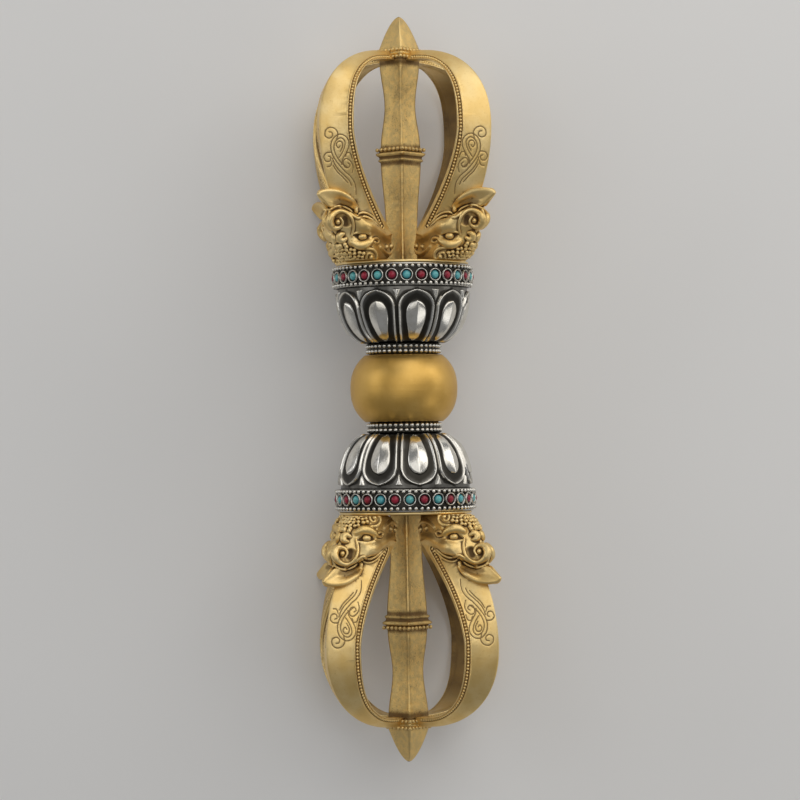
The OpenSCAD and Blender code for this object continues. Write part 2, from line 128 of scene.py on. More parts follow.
class Finish(Nodes):
    """One material, written as sums on wires."""

    def __init__(self, name):
        self.material = bpy.data.materials.new(name)
        self.material.use_nodes = True
        self.tree = self.material.node_tree
        self.shader = self.tree.nodes["Principled BSDF"]
        self.place = self.node("ShaderNodeTexCoord").outputs["Object"]

    def stretched(self, scale):
        sockets = {0: self.place, 1: scale}
        return self.node("ShaderNodeVectorMath", {"operation": "MULTIPLY"}, sockets).outputs[0]

    def noise(self, scale, detail, roughness, where=None):
        sockets = {"Vector": where or self.place, "Scale": scale, "Detail": detail, "Roughness": roughness}
        return Wire(self, self.node("ShaderNodeTexNoise", {}, sockets).outputs["Fac"])

    def cell_edges(self, scale):
        sockets = {"Vector": self.place, "Scale": scale}
        node = self.node("ShaderNodeTexVoronoi", {"feature": "DISTANCE_TO_EDGE"}, sockets)
        return Wire(self, node.outputs["Distance"])

    def mark(self, name):
        return Wire(self, self.node("ShaderNodeAttribute", {"attribute_name": name}).outputs["Fac"])

    def from_axis(self):
        """Distance from the long axis, in metres."""
        flat = self.stretched((0.0, 1.0, 1.0))
        node = self.node("ShaderNodeVectorMath", {"operation": "LENGTH"}, {0: flat})
        return Wire(self, node.outputs["Value"])

    def mix(self, first, second, share):
        first, second = [(*c, 1.0) if isinstance(c, tuple) else c for c in (first, second)]
        sockets = {MIX_SHARE: share, MIX_FIRST: first, MIX_SECOND: second}
        return self.node("ShaderNodeMix", {"data_type": "RGBA"}, sockets).outputs[MIX_RESULT]

    def coats(self, colour, *coats):
        """Colours laid over one another, each with its share."""
        for coat, share in coats:
            colour = self.mix(colour, coat, share)
        return colour

    def bump(self, height, depth, strength):
        sockets = {"Height": height, "Distance": depth, "Strength": strength}
        return self.node("ShaderNodeBump", {}, sockets).outputs["Normal"]

    def surface(self, **sockets):
        for key, value in sockets.items():
            key = key.replace("_", " ").title().replace("Ior", "IOR")
            self.feed(self.shader.inputs[key], (*value, 1.0) if isinstance(value, tuple) else value)
        return self.material


GOLD_PALE, GOLD_MID, GOLD_DEEP = (0.90, 0.69, 0.33), (0.80, 0.55, 0.20), (0.58, 0.34, 0.09)
# The patina and oxide colours also serve as painted shade wherever the hollow marks carry it
PATINA_AND_SHADE, DARK_PATINA_AND_SHADE = (0.10, 0.042, 0.010), (0.022, 0.009, 0.003)
SILVER, SILVER_WARM, OXIDE_AND_SHADE = (0.79, 0.765, 0.70), (0.61, 0.58, 0.51), (0.018, 0.016, 0.012)

# Distances from the long axis between which a stone's colour changes from painted shade at its foot to a
# painted highlight on its crown, in metres
STONE_FOOT, STONE_TOP = 0.02045, 0.0211


def satin_gilding():
    """Satin gilding on the castings: brown in the hollows from patina and painted shade, pale where the
    crests are rubbed.
    """
    f = Finish("satin_gilding")
    cloud = f.noise(130.0, 4.0, 0.55)
    specks = f.noise(1500.0, 3.0, 0.6)
    grain = f.noise(5200.0, 2.0, 0.6)
    brush = f.noise(900.0, 3.0, 0.6, f.stretched((0.12, 1.0, 1.0)))
    hollow, crest = f.mark("hollow"), f.mark("crest")
    # Brown in the hollows: patina and painted shade carried by the hollow mark
    stain_and_shade = (hollow * (0.75 + cloud * 0.5)).over(0.05, 0.95)
    rub = (crest * (0.55 + specks * 0.9)).over(0.15, 0.9)
    colour = f.coats(GOLD_MID, (GOLD_PALE, cloud.over(0.3, 0.75)),
                     (GOLD_DEEP, specks.over(0.56, 0.8) * 0.45), (PATINA_AND_SHADE, stain_and_shade * 0.9),
                     (DARK_PATINA_AND_SHADE, stain_and_shade.over(0.8, 1.0) * 0.45), (GOLD_PALE, rub * 0.75))
    relief = grain * 0.5 + brush * 0.35 + specks * 0.4
    return f.surface(base_color=colour, metallic=1.0 - stain_and_shade * 0.35,
                     roughness=0.37 + cloud * 0.10 + stain_and_shade * 0.2 - rub * 0.08,
                     normal=f.bump(relief, 0.00012, 0.5))


def hub_gilding():
    """Deeper satin gilding of the grip, with the faint rings that turning leaves."""
    f = Finish("hub_gilding")
    cloud = f.noise(90.0, 4.0, 0.6)
    rings = f.noise(60.0, 4.0, 0.7, f.stretched((55.0, 0.6, 0.6)))
    specks = f.noise(1700.0, 3.0, 0.6)
    colour = f.coats((0.64, 0.385, 0.095), ((0.74, 0.475, 0.14), cloud.over(0.3, 0.7)),
                     ((0.50, 0.28, 0.07), specks.over(0.6, 0.85) * 0.4))
    return f.surface(base_color=colour, metallic=1.0, roughness=0.35 + cloud * 0.1 + rings * 0.06,
                     normal=f.bump(rings * 0.7 + specks * 0.3, 0.00008, 0.55))


def antique_gilding():
    """Mottled gilding of the straight prongs, dented as if hammered, brown with patina and painted shade in
    its hollows, paler on rubbed crests and under a painted highlight on the point.
    """
    f = Finish("antique_gilding")
    cloud = f.noise(150.0, 4.0, 0.6)
    dents = f.noise(620.0, 2.0, 0.5)
    specks = f.noise(2100.0, 4.0, 0.65)
    hollow, crest = f.mark("hollow"), f.mark("crest")
    # Brown: random mottling and patina, with painted shade from the hollow mark
    stain_and_shade = (hollow + specks.over(0.5, 0.72) * 0.42 + cloud.over(0.42, 0.7) * 0.3).over(0.05, 1.0)
    colour = f.coats(GOLD_MID, ((0.66, 0.47, 0.19), dents.over(0.35, 0.65)), (PATINA_AND_SHADE, stain_and_shade * 0.85),
                     (GOLD_PALE, (crest * (0.3 + specks)).over(0.25, 1.0) * 0.6))
    return f.surface(base_color=colour, metallic=1.0 - stain_and_shade * 0.3,
                     roughness=0.36 + cloud * 0.12 + stain_and_shade * 0.2,
                     normal=f.bump(dents * 0.8 + specks * 0.35, 0.00035, 0.6))


def blackened_silver():
    """Silver polished on the crests and black in the hollows; on the lotus cup the same marks also carry
    painted sheen, painted shade and a painted highlight.
    """
    f = Finish("blackened_silver")
    cloud = f.noise(240.0, 4.0, 0.6)
    specks = f.noise(2600.0, 3.0, 0.6)
    hollow, crest = f.mark("hollow"), f.mark("crest")
    # Oxide black in the hollows, with painted shade and sheen where the cup's marks carry them
    stain_and_shade = (hollow * (0.8 + cloud * 0.4)).over(0.08, 0.8)
    colour = f.coats(SILVER, (SILVER_WARM, cloud.over(0.35, 0.75)),
                     ((0.30, 0.29, 0.27), specks.over(0.6, 0.85) * 0.35), (OXIDE_AND_SHADE, stain_and_shade * 0.97),
                     (SILVER, (crest * (0.6 + specks * 0.8)).over(0.25, 0.9) * 0.7))
    return f.surface(base_color=colour, metallic=1.0, roughness=0.13 + cloud * 0.1 + stain_and_shade * 0.2,
                     normal=f.bump(specks * 0.5 + cloud * 0.5, 0.00010, 0.45))


def bead_silver(name, low, high):
    """Silver granules and bezels, black where they meet the wall behind them."""
    f = Finish(name)
    specks = f.noise(2200.0, 3.0, 0.6)
    cloud = f.noise(300.0, 3.0, 0.6)
    bare = (f.from_axis() + specks * 0.00012).over(low, high)
    colour = f.mix(SILVER, SILVER_WARM, cloud.over(0.35, 0.7))
    colour = f.mix(OXIDE_AND_SHADE, colour, bare)
    return f.surface(base_color=colour, metallic=1.0, roughness=0.42 - bare * 0.22 + specks * 0.08,
                     normal=f.bump(specks, 0.00006, 0.4))


def domed(f, cloud, deep, pale, painted_foot_shade, top):
    """Colour of a domed stone: clouded, with painted shade at its foot and a painted highlight on its crown.
    """
    crown = f.from_axis().over(STONE_FOOT, STONE_TOP)
    return f.coats(deep, (pale, cloud.over(0.3, 0.7)), (painted_foot_shade, (1.0 - crown) * 0.6),
                   (top, crown.over(0.7, 1.0) * 0.4))


def turquoise_stone():
    """Polished turquoise with a thin brown web."""
    f = Finish("turquoise_stone")
    cloud = f.noise(330.0, 4.0, 0.6)
    web = 1.0 - f.cell_edges(900.0).over(0.02, 0.09)
    # The last two colours are the painted shade at the foot and the painted highlight on the crown
    colour = domed(f, cloud, (0.024, 0.25, 0.31), (0.085, 0.44, 0.42), (0.010, 0.11, 0.15),
                   (0.20, 0.58, 0.56))
    colour = f.mix(colour, (0.05, 0.07, 0.06), web * cloud.over(0.45, 0.65) * 0.55)
    return f.surface(base_color=colour, roughness=0.2 + cloud * 0.1, coat_weight=0.35, coat_roughness=0.05,
                     normal=f.bump(cloud - web * 0.3, 0.00005, 0.4))


def coral_stone():
    """Polished deep red coral with paler bands."""
    f = Finish("coral_stone")
    cloud = f.noise(280.0, 4.0, 0.6)
    bands = f.noise(500.0, 3.0, 0.6, f.stretched((1.0, 0.3, 0.3)))
    # The last two colours are the painted shade at the foot and the painted highlight on the crown
    colour = domed(f, cloud, (0.13, 0.005, 0.014), (0.27, 0.012, 0.036), (0.05, 0.002, 0.006),
                   (0.46, 0.02, 0.04))
    colour = f.mix(colour, (0.36, 0.03, 0.045), bands.over(0.55, 0.8) * 0.4)
    return f.surface(base_color=colour, roughness=0.18 + bands * 0.1, specular_ior_level=0.3, coat_weight=0.2,
                     coat_roughness=0.05, normal=f.bump(bands, 0.00004, 0.35))


def rod_steel():
    """Plain steel with the fine turns of a thread."""
    f = Finish("rod_steel")
    turns = f.noise(70.0, 2.0, 0.5, f.stretched((60.0, 1.0, 1.0)))
    rust = f.noise(420.0, 4.0, 0.6)
    colour = f.mix((0.42, 0.42, 0.42), (0.28, 0.22, 0.17), rust.over(0.55, 0.8))
    return f.surface(base_color=colour, metallic=1.0, roughness=0.34 + rust * 0.2,
                     normal=f.bump(turns, 0.0001, 0.5))


def pale_floor():
    f = Finish("pale_floor")
    cloud = f.noise(3.0, 3.0, 0.5)
    colour = f.mix((0.80, 0.79, 0.77), (0.84, 0.83, 0.81), cloud)
    return f.surface(base_color=colour, roughness=0.6 + cloud * 0.1)


GILT, HUB_GILT, ANTIQUE = satin_gilding(), hub_gilding(), antique_gilding()
BLACK_SILVER = blackened_silver()
COLLAR_SILVER = bead_silver("collar_bead_silver", 0.01062, 0.01096)
BAND_SILVER = bead_silver("band_bead_silver", 0.02022, 0.02056)
BEZEL_SILVER = bead_silver("bezel_silver", 0.02025, 0.0207)
TURQUOISE, CORAL, STEEL = turquoise_stone(), coral_stone(), rod_steel()


# Making and setting pieces

def laid_down(end):
    """Takes upright millimetres of one end to the shared frame in metres."""
    z = 0.001 if end == "upper" else -0.001
    return Matrix(((0, 0, z, 0), (0, -0.001, 0, 0), (0.001, 0, 0, 0), (0, 0, 0, 1)))


def skin(name, points, faces, marks=None):
    """A smooth mesh from arrays, its faces turned outward."""
    corners = points[faces]
    sides = faces.shape[1]
    volume = sum(np.einsum("ij,ij->i", np.cross(corners[:, 0], corners[:, k - 1]), corners[:, k]).sum()
                 for k in range(2, sides))
    if volume < 0:
        faces = faces[:, ::-1]
    mesh = bpy.data.meshes.new(name)
    mesh.vertices.add(len(points))
    mesh.vertices.foreach_set("co", np.ascontiguousarray(points, np.float32).ravel())
    mesh.loops.add(faces.size)
    mesh.loops.foreach_set("vertex_index", np.ascontiguousarray(faces, np.int32).ravel())
    mesh.polygons.add(len(faces))
    mesh.polygons.foreach_set("loop_start", np.arange(0, faces.size, sides, dtype=np.int32))
    mesh.update(calc_edges=True)
    mesh.polygons.foreach_set("use_smooth", np.ones(len(faces), bool))
    for mark, values in (marks or {}).items():
        layer = mesh.attributes.new(mark, "FLOAT", "POINT")
        layer.data.foreach_set("value", np.ascontiguousarray(values, np.float32))
    return mesh


def put(name, data):
    """An object in the scene."""
    thing = bpy.data.objects.new(name, data)
    scene.collection.objects.link(thing)
    return thing


def made_plain(thing):
    """The mesh that an object's modifiers make of it; the object itself goes."""
    mesh = bpy.data.meshes.new_from_object(thing.evaluated_get(bpy.context.evaluated_depsgraph_get()))
    thing.modifiers.clear()
    bpy.data.objects.remove(thing)
    return mesh


def set_piece(name, mesh, end, finish, slot, *nodes):
    """Lays a mesh down at its end, dresses it and puts it in place of its CAD nodes."""
    mesh.transform(laid_down(end))
    if end == "lower":
        mesh.flip_normals()
    mesh.materials.clear()
    mesh.materials.append(finish)
    piece = put(name, mesh)
    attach(piece, "root")
    if nodes:
        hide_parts(*nodes)


def grid_faces(rows, columns):
    """Quads of a sheet that closes on itself in both directions."""
    i, j = np.meshgrid(np.arange(rows), np.arange(columns), indexing="ij")
    a, b = i * columns + j, i * columns + (j + 1) % columns
    c, d = (i + 1) % rows * columns + (j + 1) % columns, (i + 1) % rows * columns + j
    return np.stack([a, b, c, d], -1).reshape(-1, 4)


def turned(name, outline, segments):
    """A ring turned from a closed outline: rows of radius, height, and hollow and crest marks if any."""
    rows = np.array([(*row, 0, 0)[:4] for row in outline], float)
    turn = np.arange(segments) * 2 * np.pi / segments
    r, z = rows[:, :1], rows[:, 1:2]
    points = np.stack([r * np.cos(turn), r * np.sin(turn), z + 0 * turn], -1).reshape(-1, 3)
    marks = {"hollow": np.repeat(rows[:, 2], segments), "crest": np.repeat(rows[:, 3], segments)}
    return skin(name, points, grid_faces(len(rows), segments), marks)


def spline(knots, per_knot):
    """A smooth line through knots, given as rows of numbers."""
    k = np.array(knots, float)
    if len(k) < 3:
        share = np.linspace(0, 1, per_knot)[:, None]
        return k[:1] + (k[-1:] - k[:1]) * share
    k = np.vstack([2 * k[0] - k[1], k, 2 * k[-1] - k[-2]])
    out = []
    for a, b, c, d in zip(k[:-3], k[1:-2], k[2:-1], k[3:]):
        for t in np.arange(per_knot) / per_knot:
            out.append(0.5 * (2 * b + (c - a) * t + (2 * a - 5 * b + 4 * c - d) * t ** 2
                              + (3 * b - a - 3 * c + d) * t ** 3))
    return np.array(out + [k[-2]])


def run_along(line):
    """Length of a line from its start to each of its points."""
    return np.concatenate([[0], np.cumsum(np.hypot(*np.diff(line, axis=0).T))])


def unit(t):
    return np.clip(t, 0, 1)


def ease(t):
    t = unit(t)
    return t * t * (3 - 2 * t)


# Rings of repeated pieces

class Rule(Nodes):
    """A Geometry Nodes tree with named inputs, run once into a plain mesh."""

    def __init__(self, name):
        self.name, self.values = name, {}
        self.tree = bpy.data.node_groups.new(name, "GeometryNodeTree")
        self.tree.interface.new_socket("Geometry", in_out="OUTPUT", socket_type="NodeSocketGeometry")
        self.inlet = self.node("NodeGroupInput")

    def size(self, name, value):
        kind = "NodeSocketInt" if isinstance(value, int) else "NodeSocketFloat"
        socket = self.tree.interface.new_socket(name, in_out="INPUT", socket_type=kind)
        self.values[socket.identifier] = value
        return next(s for s in self.inlet.outputs if s.identifier == socket.identifier)

    def geo(self, kind, **sockets):
        """Adds a geometry node; a socket's name has _ in place of a space."""
        named = {key.replace("_", " "): value for key, value in sockets.items()}
        return self.node("GeometryNode" + kind, {}, named).outputs[0]

    def at_height(self, part, height):
        offset = self.node("ShaderNodeCombineXYZ", {}, {"Z": height}).outputs[0]
        return self.geo("Transform", Geometry=part, Translation=offset)

    def stacked(self, parts, heights, what):
        """Parts lifted to their heights and joined."""
        node = self.node("GeometryNodeJoinGeometry")
        for k, (part, height) in enumerate(zip(parts, heights), 1):
            lifted = self.at_height(part, self.size(f"Height of {what} {k}", height))
            self.tree.links.new(lifted, node.inputs[0])
        return node.outputs[0]

    def beaded(self, points, bead_r, finish):
        """A round granule on each point."""
        bead = self.geo("MeshIcoSphere", Radius=self.size("Granule radius", bead_r), Subdivisions=2)
        return self.run(self.geo("InstanceOnPoints", Points=points, Instance=bead), finish)

    def run(self, instances, finish):
        smooth = self.geo("SetShadeSmooth", Geometry=self.geo("RealizeInstances", Geometry=instances))
        dressed = self.geo("SetMaterial", Geometry=smooth, Material=finish)
        self.node("NodeGroupOutput", {}, {0: dressed})
        holder = put(self.name, bpy.data.meshes.new(self.name))
        modifier = holder.modifiers.new("rule", "NODES")
        modifier.node_group = self.tree
        for identifier, value in self.values.items():
            modifier[identifier] = value
        return made_plain(holder)


def granule_rows(name, count, row_r, bead_r, heights, finish):
    """Rows of round granules around the axis."""
    rule = Rule(name)
    number, radius = rule.size("Granules in a row", count), rule.size("Row radius", row_r)
    ring = rule.geo("MeshCircle", Vertices=number, Radius=radius)
    return rule.beaded(rule.stacked([ring] * len(heights), heights, "row"), bead_r, finish)


def square_rows(name, rows, bead_r, pitch, finish):
    """Rows of granules around the square straight prong, as (half width, height)."""
    rule = Rule(name)
    lines = []
    for k, (half, _) in enumerate(rows, 1):
        side = rule.size(f"Side of row {k}", half * 2)
        count = rule.size(f"Granules in row {k}", round(half * 2 / pitch) * 4)
        square = rule.geo("CurvePrimitiveQuadrilateral", Width=side, Height=side)
        lines.append(rule.geo("ResampleCurve", Curve=square, Count=count))
    return rule.beaded(rule.stacked(lines, [height for _, height in rows], "row"), bead_r, finish)


def around_band(rule, seat_r, part, **chosen):
    """Sets a part on every seat around the stone band, or on the chosen ones, facing outward."""
    number, radius = rule.size("Stones", STONES), rule.size("Seat radius", seat_r)
    ring = rule.geo("MeshCircle", Vertices=number, Radius=radius)
    points = rule.at_height(ring, rule.size("Height", STONE_Z))
    sockets = {0: rule.geo("InputPosition"), 1: (1.0, 1.0, 0.0)}
    flat = rule.node("ShaderNodeVectorMath", {"operation": "MULTIPLY"}, sockets).outputs[0]
    outward = rule.node("FunctionNodeAlignRotationToVector", {"axis": "Z"}, {"Vector": flat}).outputs[0]
    return rule.geo("InstanceOnPoints", Points=points, Instance=part, Rotation=outward, **chosen)


def bezel_ring(name, finish):
    """Thirty thin bezels, each a short wall of three round hoops."""
    rule = Rule(name)
    radius, wire_r = rule.size("Bezel radius", BEZEL_R), rule.size("Wire radius", BEZEL_WIRE_R)
    hoop = rule.geo("CurvePrimitiveCircle", Resolution=24, Radius=radius)
    wire = rule.geo("CurvePrimitiveCircle", Resolution=8, Radius=wire_r)
    tube = rule.geo("CurveToMesh", Curve=hoop, Profile_Curve=wire)
    wall = rule.stacked([tube] * len(HOOP_HEIGHTS), HOOP_HEIGHTS, "hoop")
    return rule.run(around_band(rule, BAND_R + 0.05, wall), finish)


def cabochons(name, first, finish):
    """Every second stone around the band, a low dome inside its bezel."""
    rule = Rule(name)
    ball = rule.geo("MeshUVSphere", Segments=20, Rings=12, Radius=1.0)
    wide, tall = rule.size("Stone radius", STONE_R), rule.size("Stone rise", STONE_RISE)
    size = rule.node("ShaderNodeCombineXYZ", {}, {"X": wide, "Y": wide, "Z": tall}).outputs[0]
    stone = rule.geo("Transform", Geometry=ball, Scale=size)
    start = rule.size("First stone", float(first))
    turn = rule.node("ShaderNodeMath", {"operation": "ADD"}, {0: rule.geo("InputIndex"), 1: start})
    odd = rule.node("ShaderNodeMath", {"operation": "MODULO"}, {0: turn.outputs[0], 1: 2.0})
    even = rule.node("FunctionNodeCompare", {"data_type": "FLOAT", "operation": "LESS_THAN"},
                     {0: odd.outputs[0], 1: 0.5})
    return rule.run(around_band(rule, BAND_R + 0.1, stone, Selection=even.outputs[0]), finish)


# Hub, collars, bands and plates

def hub_mesh():
    z = np.linspace(-HUB_FLAT, HUB_FLAT, 73)
    belly = [(HUB_R * (1 - (abs(h) / HUB_POLAR) ** HUB_SQUARE) ** (1 / HUB_SQUARE), h) for h in z]
    return turned("hub_ball", [(ROD_HOLE_R, -HUB_FLAT)] + belly + [(ROD_HOLE_R, HUB_FLAT)], 160)


def collar_mesh():
    z = HUB_FLAT
    return turned("collar", [
        (ROD_HOLE_R, z, 1), (10.1, z, 1), (10.1, z + 0.35, 1), (10.65, z + 0.5, 0.9), (10.72, z + 0.8, 0.8),
        (10.5, z + 1.05, 1), (10.72, z + 1.35, 1), (10.75, z + 1.75, 0.8), (10.72, z + 2.15, 1),
        (10.5, z + 2.52, 1), (10.72, z + 2.9, 0.9), (10.75, z + 3.2, 0.8), (10.3, z + COLLAR_H, 1),
        (ROD_HOLE_R, z + COLLAR_H, 1)], 160)


def band_mesh():
    low, high = BAND_Z, RIM_Z
    return turned("stone_band", [
        (18.7, low, 1), (19.75, low, 0.6), (20.05, low + 0.15, 0.3), (BAND_R, low + 0.5, 0.8),
        (20.0, low + 0.68, 1), (BAND_R, low + 1.0, 1), (BAND_R, low + 1.5, 1), (BAND_R, high - 1.6, 1),
        (BAND_R, high - 1.3, 1), (20.0, high - 0.98, 1), (BAND_R, high - 0.6, 0.8),
        (20.05, high - 0.15, 0.25), (19.8, high, 0.5), (18.7, high, 1)], 192)


def plate_mesh():
    low, high = RIM_Z, PLATE_Z
    return turned("prong_plate", [
        (ROD_HOLE_R, low, 1), (19.1, low, 0.3), (19.4, low + 0.12, 0, 0.6), (PLATE_R, low + 0.35, 0, 0.8),
        (PLATE_R, low + 0.55, 0, 0.8), (19.4, high - 0.12, 0, 0.6), (19.1, high, 0.2, 0.2), (18.2, high, 0.6),
        (ROD_HOLE_R, high, 0.8)], 192)


# Lotus cup

# Its height, the petals with lip, facets and channel, the darts between them, and its inside
CUP_H, PETAL_LENGTH, HALF_PITCH = BAND_Z - CUP_Z, DOME_H - 0.6, math.pi / PETALS
LIP_W, FACET_EDGE, CHANNEL_EDGE = 0.85, 0.35, 0.3
DART_FOOT, DART_TOP, DART_LENGTH, DART_HALF_W = 11.6, 15.1, 3.4, 1.25
CUP_INSIDE = [(18.6, CUP_H), (17.2, CUP_H), (15.0, 6.0), (9.0, 3.2), (2.2, 3.2), (2.2, 0.0)]


def dome_radius(h):
    return CUP_NECK_R + (CUP_R - CUP_NECK_R) * np.sqrt(1 - np.maximum(0, 1 - h / DOME_H) ** 2.1)


def round_tip(share, start, length):
    """Share of its width that a petal keeps where its tip rounds over."""
    return np.sqrt(unit(1 - np.maximum(0, (share - start) / length) ** 2.0))


def lotus_cup_mesh(rows=118, per_petal=62):
    """The dome with ten petals: bright lip, dark dished channel, two polished facets, darts between tips."""
    fine = np.linspace(0, 1, 1500) ** 1.6 * CUP_H
    radius = dome_radius(np.minimum(fine, DOME_H))
    run = run_along(np.stack([fine, radius], -1))
    along = np.linspace(0, run[-1], rows)
    h, r = np.interp(along, run, fine), np.interp(along, run, radius)
    slope_r, slope_h = np.gradient(r, along), np.gradient(h, along)
    share = unit(h / PETAL_LENGTH)
    sector = (r + PETAL_RISE) * math.tan(HALF_PITCH)
    half = np.where(h < PETAL_LENGTH, sector * PETAL_SHARE * round_tip(share, 0.66, 0.34), 0)
    steep = np.sqrt(1 + np.clip(np.gradient(half, along), -2.2, 2.2) ** 2)
    panel = sector * (0.34 + 0.19 * ease(share / 0.5)) * round_tip(share, 0.52, 0.28) * ease(h / 1.6)
    columns = PETALS * per_petal
    turn = (np.arange(columns) + 0.5) * 2 * math.pi / columns
    away = (turn + HALF_PITCH) % (2 * HALF_PITCH) - HALF_PITCH
    across = np.abs((r[:, None] + PETAL_RISE) * away[None, :])
    inside = (half[:, None] - across) / steep[:, None]
    lip = np.sin(np.pi * unit(inside / LIP_W)) ** 0.8 * (inside > 0)

    # The two facets of a petal, by the distance from the edge around them
    edge_along = np.linspace(0, run[-1], 700)
    edge_half = np.interp(edge_along, along, panel)
    edge_along, edge_half = edge_along[edge_half > 0.02], edge_half[edge_half > 0.02]
    one_petal = across[:, :per_petal]
    to_edge = np.hypot(along[:, None, None] - edge_along, one_petal[:, :, None] - edge_half).min(-1)
    in_panel = np.tile(np.where(one_petal < panel[:, None], to_edge, -to_edge), (1, PETALS))
    on_panel = ease(in_panel / FACET_EDGE)
    ridge = 1 - unit(across / np.maximum(panel[:, None], 1e-3))
    taper = ease(share / 0.3)[:, None]
    inward = unit(inside / np.maximum(inside - in_panel, CHANNEL_EDGE))
    dish = (0.10 + 0.38 * (1 - inward) ** 1.3) * ease(inside / CHANNEL_EDGE)
    relief = (dish + lip * (0.32 + 0.2 * taper) + on_panel * (0.26 + 0.74 * ridge * taper)) * (inside > 0)

    # The darts between the tips
    gap = (r[:, None] + PETAL_RISE) * HALF_PITCH - across
    dart_half = unit((h - DART_FOOT) / DART_LENGTH)[:, None] * DART_HALF_W * (h < DART_TOP)[:, None]
    dart = ease((dart_half - gap) / 0.4) * (inside < 0)
    relief = relief + dart * (0.35 + 0.35 * unit(1 - gap / np.maximum(dart_half, 1e-3)))
    fade = ease(h / 0.8)[:, None] * ease((CUP_H - h) / 0.4)[:, None]
    relief = relief * fade

    # Polish and tarnish, with painted sheen in the channels and painted shade by the petal edges, at the neck
    # and under the band
    ground = 0.38 * ease((np.maximum(-inside, (h - PETAL_LENGTH)[:, None]) - 0.1) / 0.8)
    sheen = np.where(inside > 0, (0.04 + 0.42 * (1 - inward) ** 0.9) * (1 - on_panel), ground)
    # The fade darkens the neck and the top under the band as painted shade
    bright = unit(lip ** 1.5 * 1.1 + on_panel + dart + sheen) * fade
    # Crest: the polished lip, and a painted highlight along each panel's crease
    crest = unit(lip ** 3 * fade + on_panel * (ridge > 0.86) * 0.5)
    plain = np.zeros((len(CUP_INSIDE), columns))
    marks = {"hollow": np.vstack([1 - bright, plain + 1]).ravel(), "crest": np.vstack([crest, plain]).ravel()}
    angle = math.radians(PETAL_PHASE) + turn[None, :]
    rings = [(r[:, None] + relief * slope_h[:, None], h[:, None] - relief * slope_r[:, None])]
    rings += [(inner_r, 0 * angle + inner_h) for inner_r, inner_h in CUP_INSIDE]
    points = np.vstack([np.stack([out * np.cos(angle), out * np.sin(angle), up + CUP_Z], -1)
                        for out, up in rings])
    return skin("lotus_cup", points.reshape(-1, 3), grid_faces(*points.shape[:2]), marks)


# Straight prong

# Mouldings: height above the moulding's foot and half width from corner to corner
RING_STEPS = [(-0.15, 6.2), (0.1, 6.75), (0.45, 6.9), (0.75, 6.55), (1.1, 6.45), (1.5, 6.7), (1.8, 7.25),
              (2.1, 7.55), (2.4, 7.55), (2.65, 7.2), (2.8, 6.6), (3.1, 6.5), (3.6, 6.5)]
MEET_STEPS = [(0.0, 5.9), (0.2, 6.15), (1.0, 6.2), (1.15, 6.5), (1.6, 6.7), (2.05, 6.5), (2.2, 6.2),
              (2.95, 6.15), (MEET_H, 6.1)]
CORNER_POWER, TIP_HOLE_R = 22, 0.06
PRONG_BEAD_R, PRONG_BEAD_PITCH, PRONG_BEAD_SHINE = 0.62, 1.55, 0.8


def swing(a, b, t):
    return a + (b - a) * (1 - math.cos(math.pi * t)) / 2


def straight_prong_mesh(columns=96):
    """Square prong with its moulded ring and point, corners slightly rounded."""
    low, high, meet = RING_AT - RING_H / 2, RING_AT + RING_H / 2, POINT_H - TIP_H - MEET_H
    lengths = [(0.0, low, FOOT_DIAG, LOBE_DIAG, 1.8, np.linspace(0.02, 0.985, 60)),
               (high, WAIST_AT, LOBE_DIAG - 0.1, WAIST_DIAG, 1, np.linspace(0.03, 1, 40)),
               (WAIST_AT, meet, WAIST_DIAG, LOBE_DIAG, 1, np.linspace(0.03, 0.97, 40))]
    lower, middle, upper = [[(start + (end - start) * t, swing(a, b, t ** power)) for t in shares]
                            for start, end, a, b, power, shares in lengths]
    line = [(0.0, FOOT_DIAG)] + lower + [(low + rise, wide) for rise, wide in RING_STEPS]
    line += [(high - 0.5, 6.45), (high - 0.2, 6.25), (high, 6.0)] + middle + upper
    line += [(meet + rise, wide) for rise, wide in MEET_STEPS]
    line += [(POINT_H - TIP_H + TIP_H * t, LOBE_DIAG * (1 - t) ** 0.6) for t in np.linspace(0.02, 0.995, 44)]
    line = np.array(line)
    soft = np.convolve(np.pad(line[:, 1], 4, "edge"), np.ones(9) / 9, "valid")
    # Coves of the mouldings darken with patina and painted shade; painted shade also lies just below the
    # ring, at its upper edge and just below the meeting block
    hollow = unit((soft - line[:, 1]) * 3.2)
    for strength, at, reach in ((0.8, low - 0.6, 0.8), (0.6, high - 0.3, 0.7), (0.85, meet - 1.0, 1.1)):
        hollow = np.maximum(hollow, strength * np.exp(-((line[:, 0] - at) / reach) ** 2))
    # Painted highlight: the point is painted paler
    pale = 0.6 * (line[:, 0] > POINT_H - TIP_H + 0.2)
    around = np.linspace(0, 2 * np.pi, columns, endpoint=False)
    around = around + 0.16 * np.sin(4 * around + math.pi)
    square = np.abs(np.cos(around)) ** CORNER_POWER + np.abs(np.sin(around)) ** CORNER_POWER
    shape = square ** (-1 / CORNER_POWER)
    edge = unit((shape - 1.31) / 0.08)
    angle = around + math.pi / 4
    rings = [(line[:, 1:] / math.sqrt(2) * shape[None, :], line[:, :1] + PLATE_Z)]
    rings += [(np.full((1, columns), TIP_HOLE_R), height) for height in (PLATE_Z + POINT_H, PLATE_Z)]
    points = np.concatenate([np.stack([out * np.cos(angle), out * np.sin(angle), up + 0 * out], -1)
                             for out, up in rings])
    plain = np.zeros(2 * columns)
    hollow = np.concatenate([np.repeat(hollow, columns), plain])
    crest = np.concatenate([np.maximum(edge[None, :], pale[:, None]).ravel(), plain])
    return skin("straight_prong", points.reshape(-1, 3), grid_faces(*points.shape[:2]),
                {"hollow": hollow, "crest": crest * (1 - hollow)})


# Curved prong with its sea-dragon head

# Corners of a cell of the clay, and the distance that stands for far away
CORNERS = [(dx, dy, dz) for dx in (0, 1) for dy in (0, 1) for dz in (0, 1)]
AWAY = 4.0


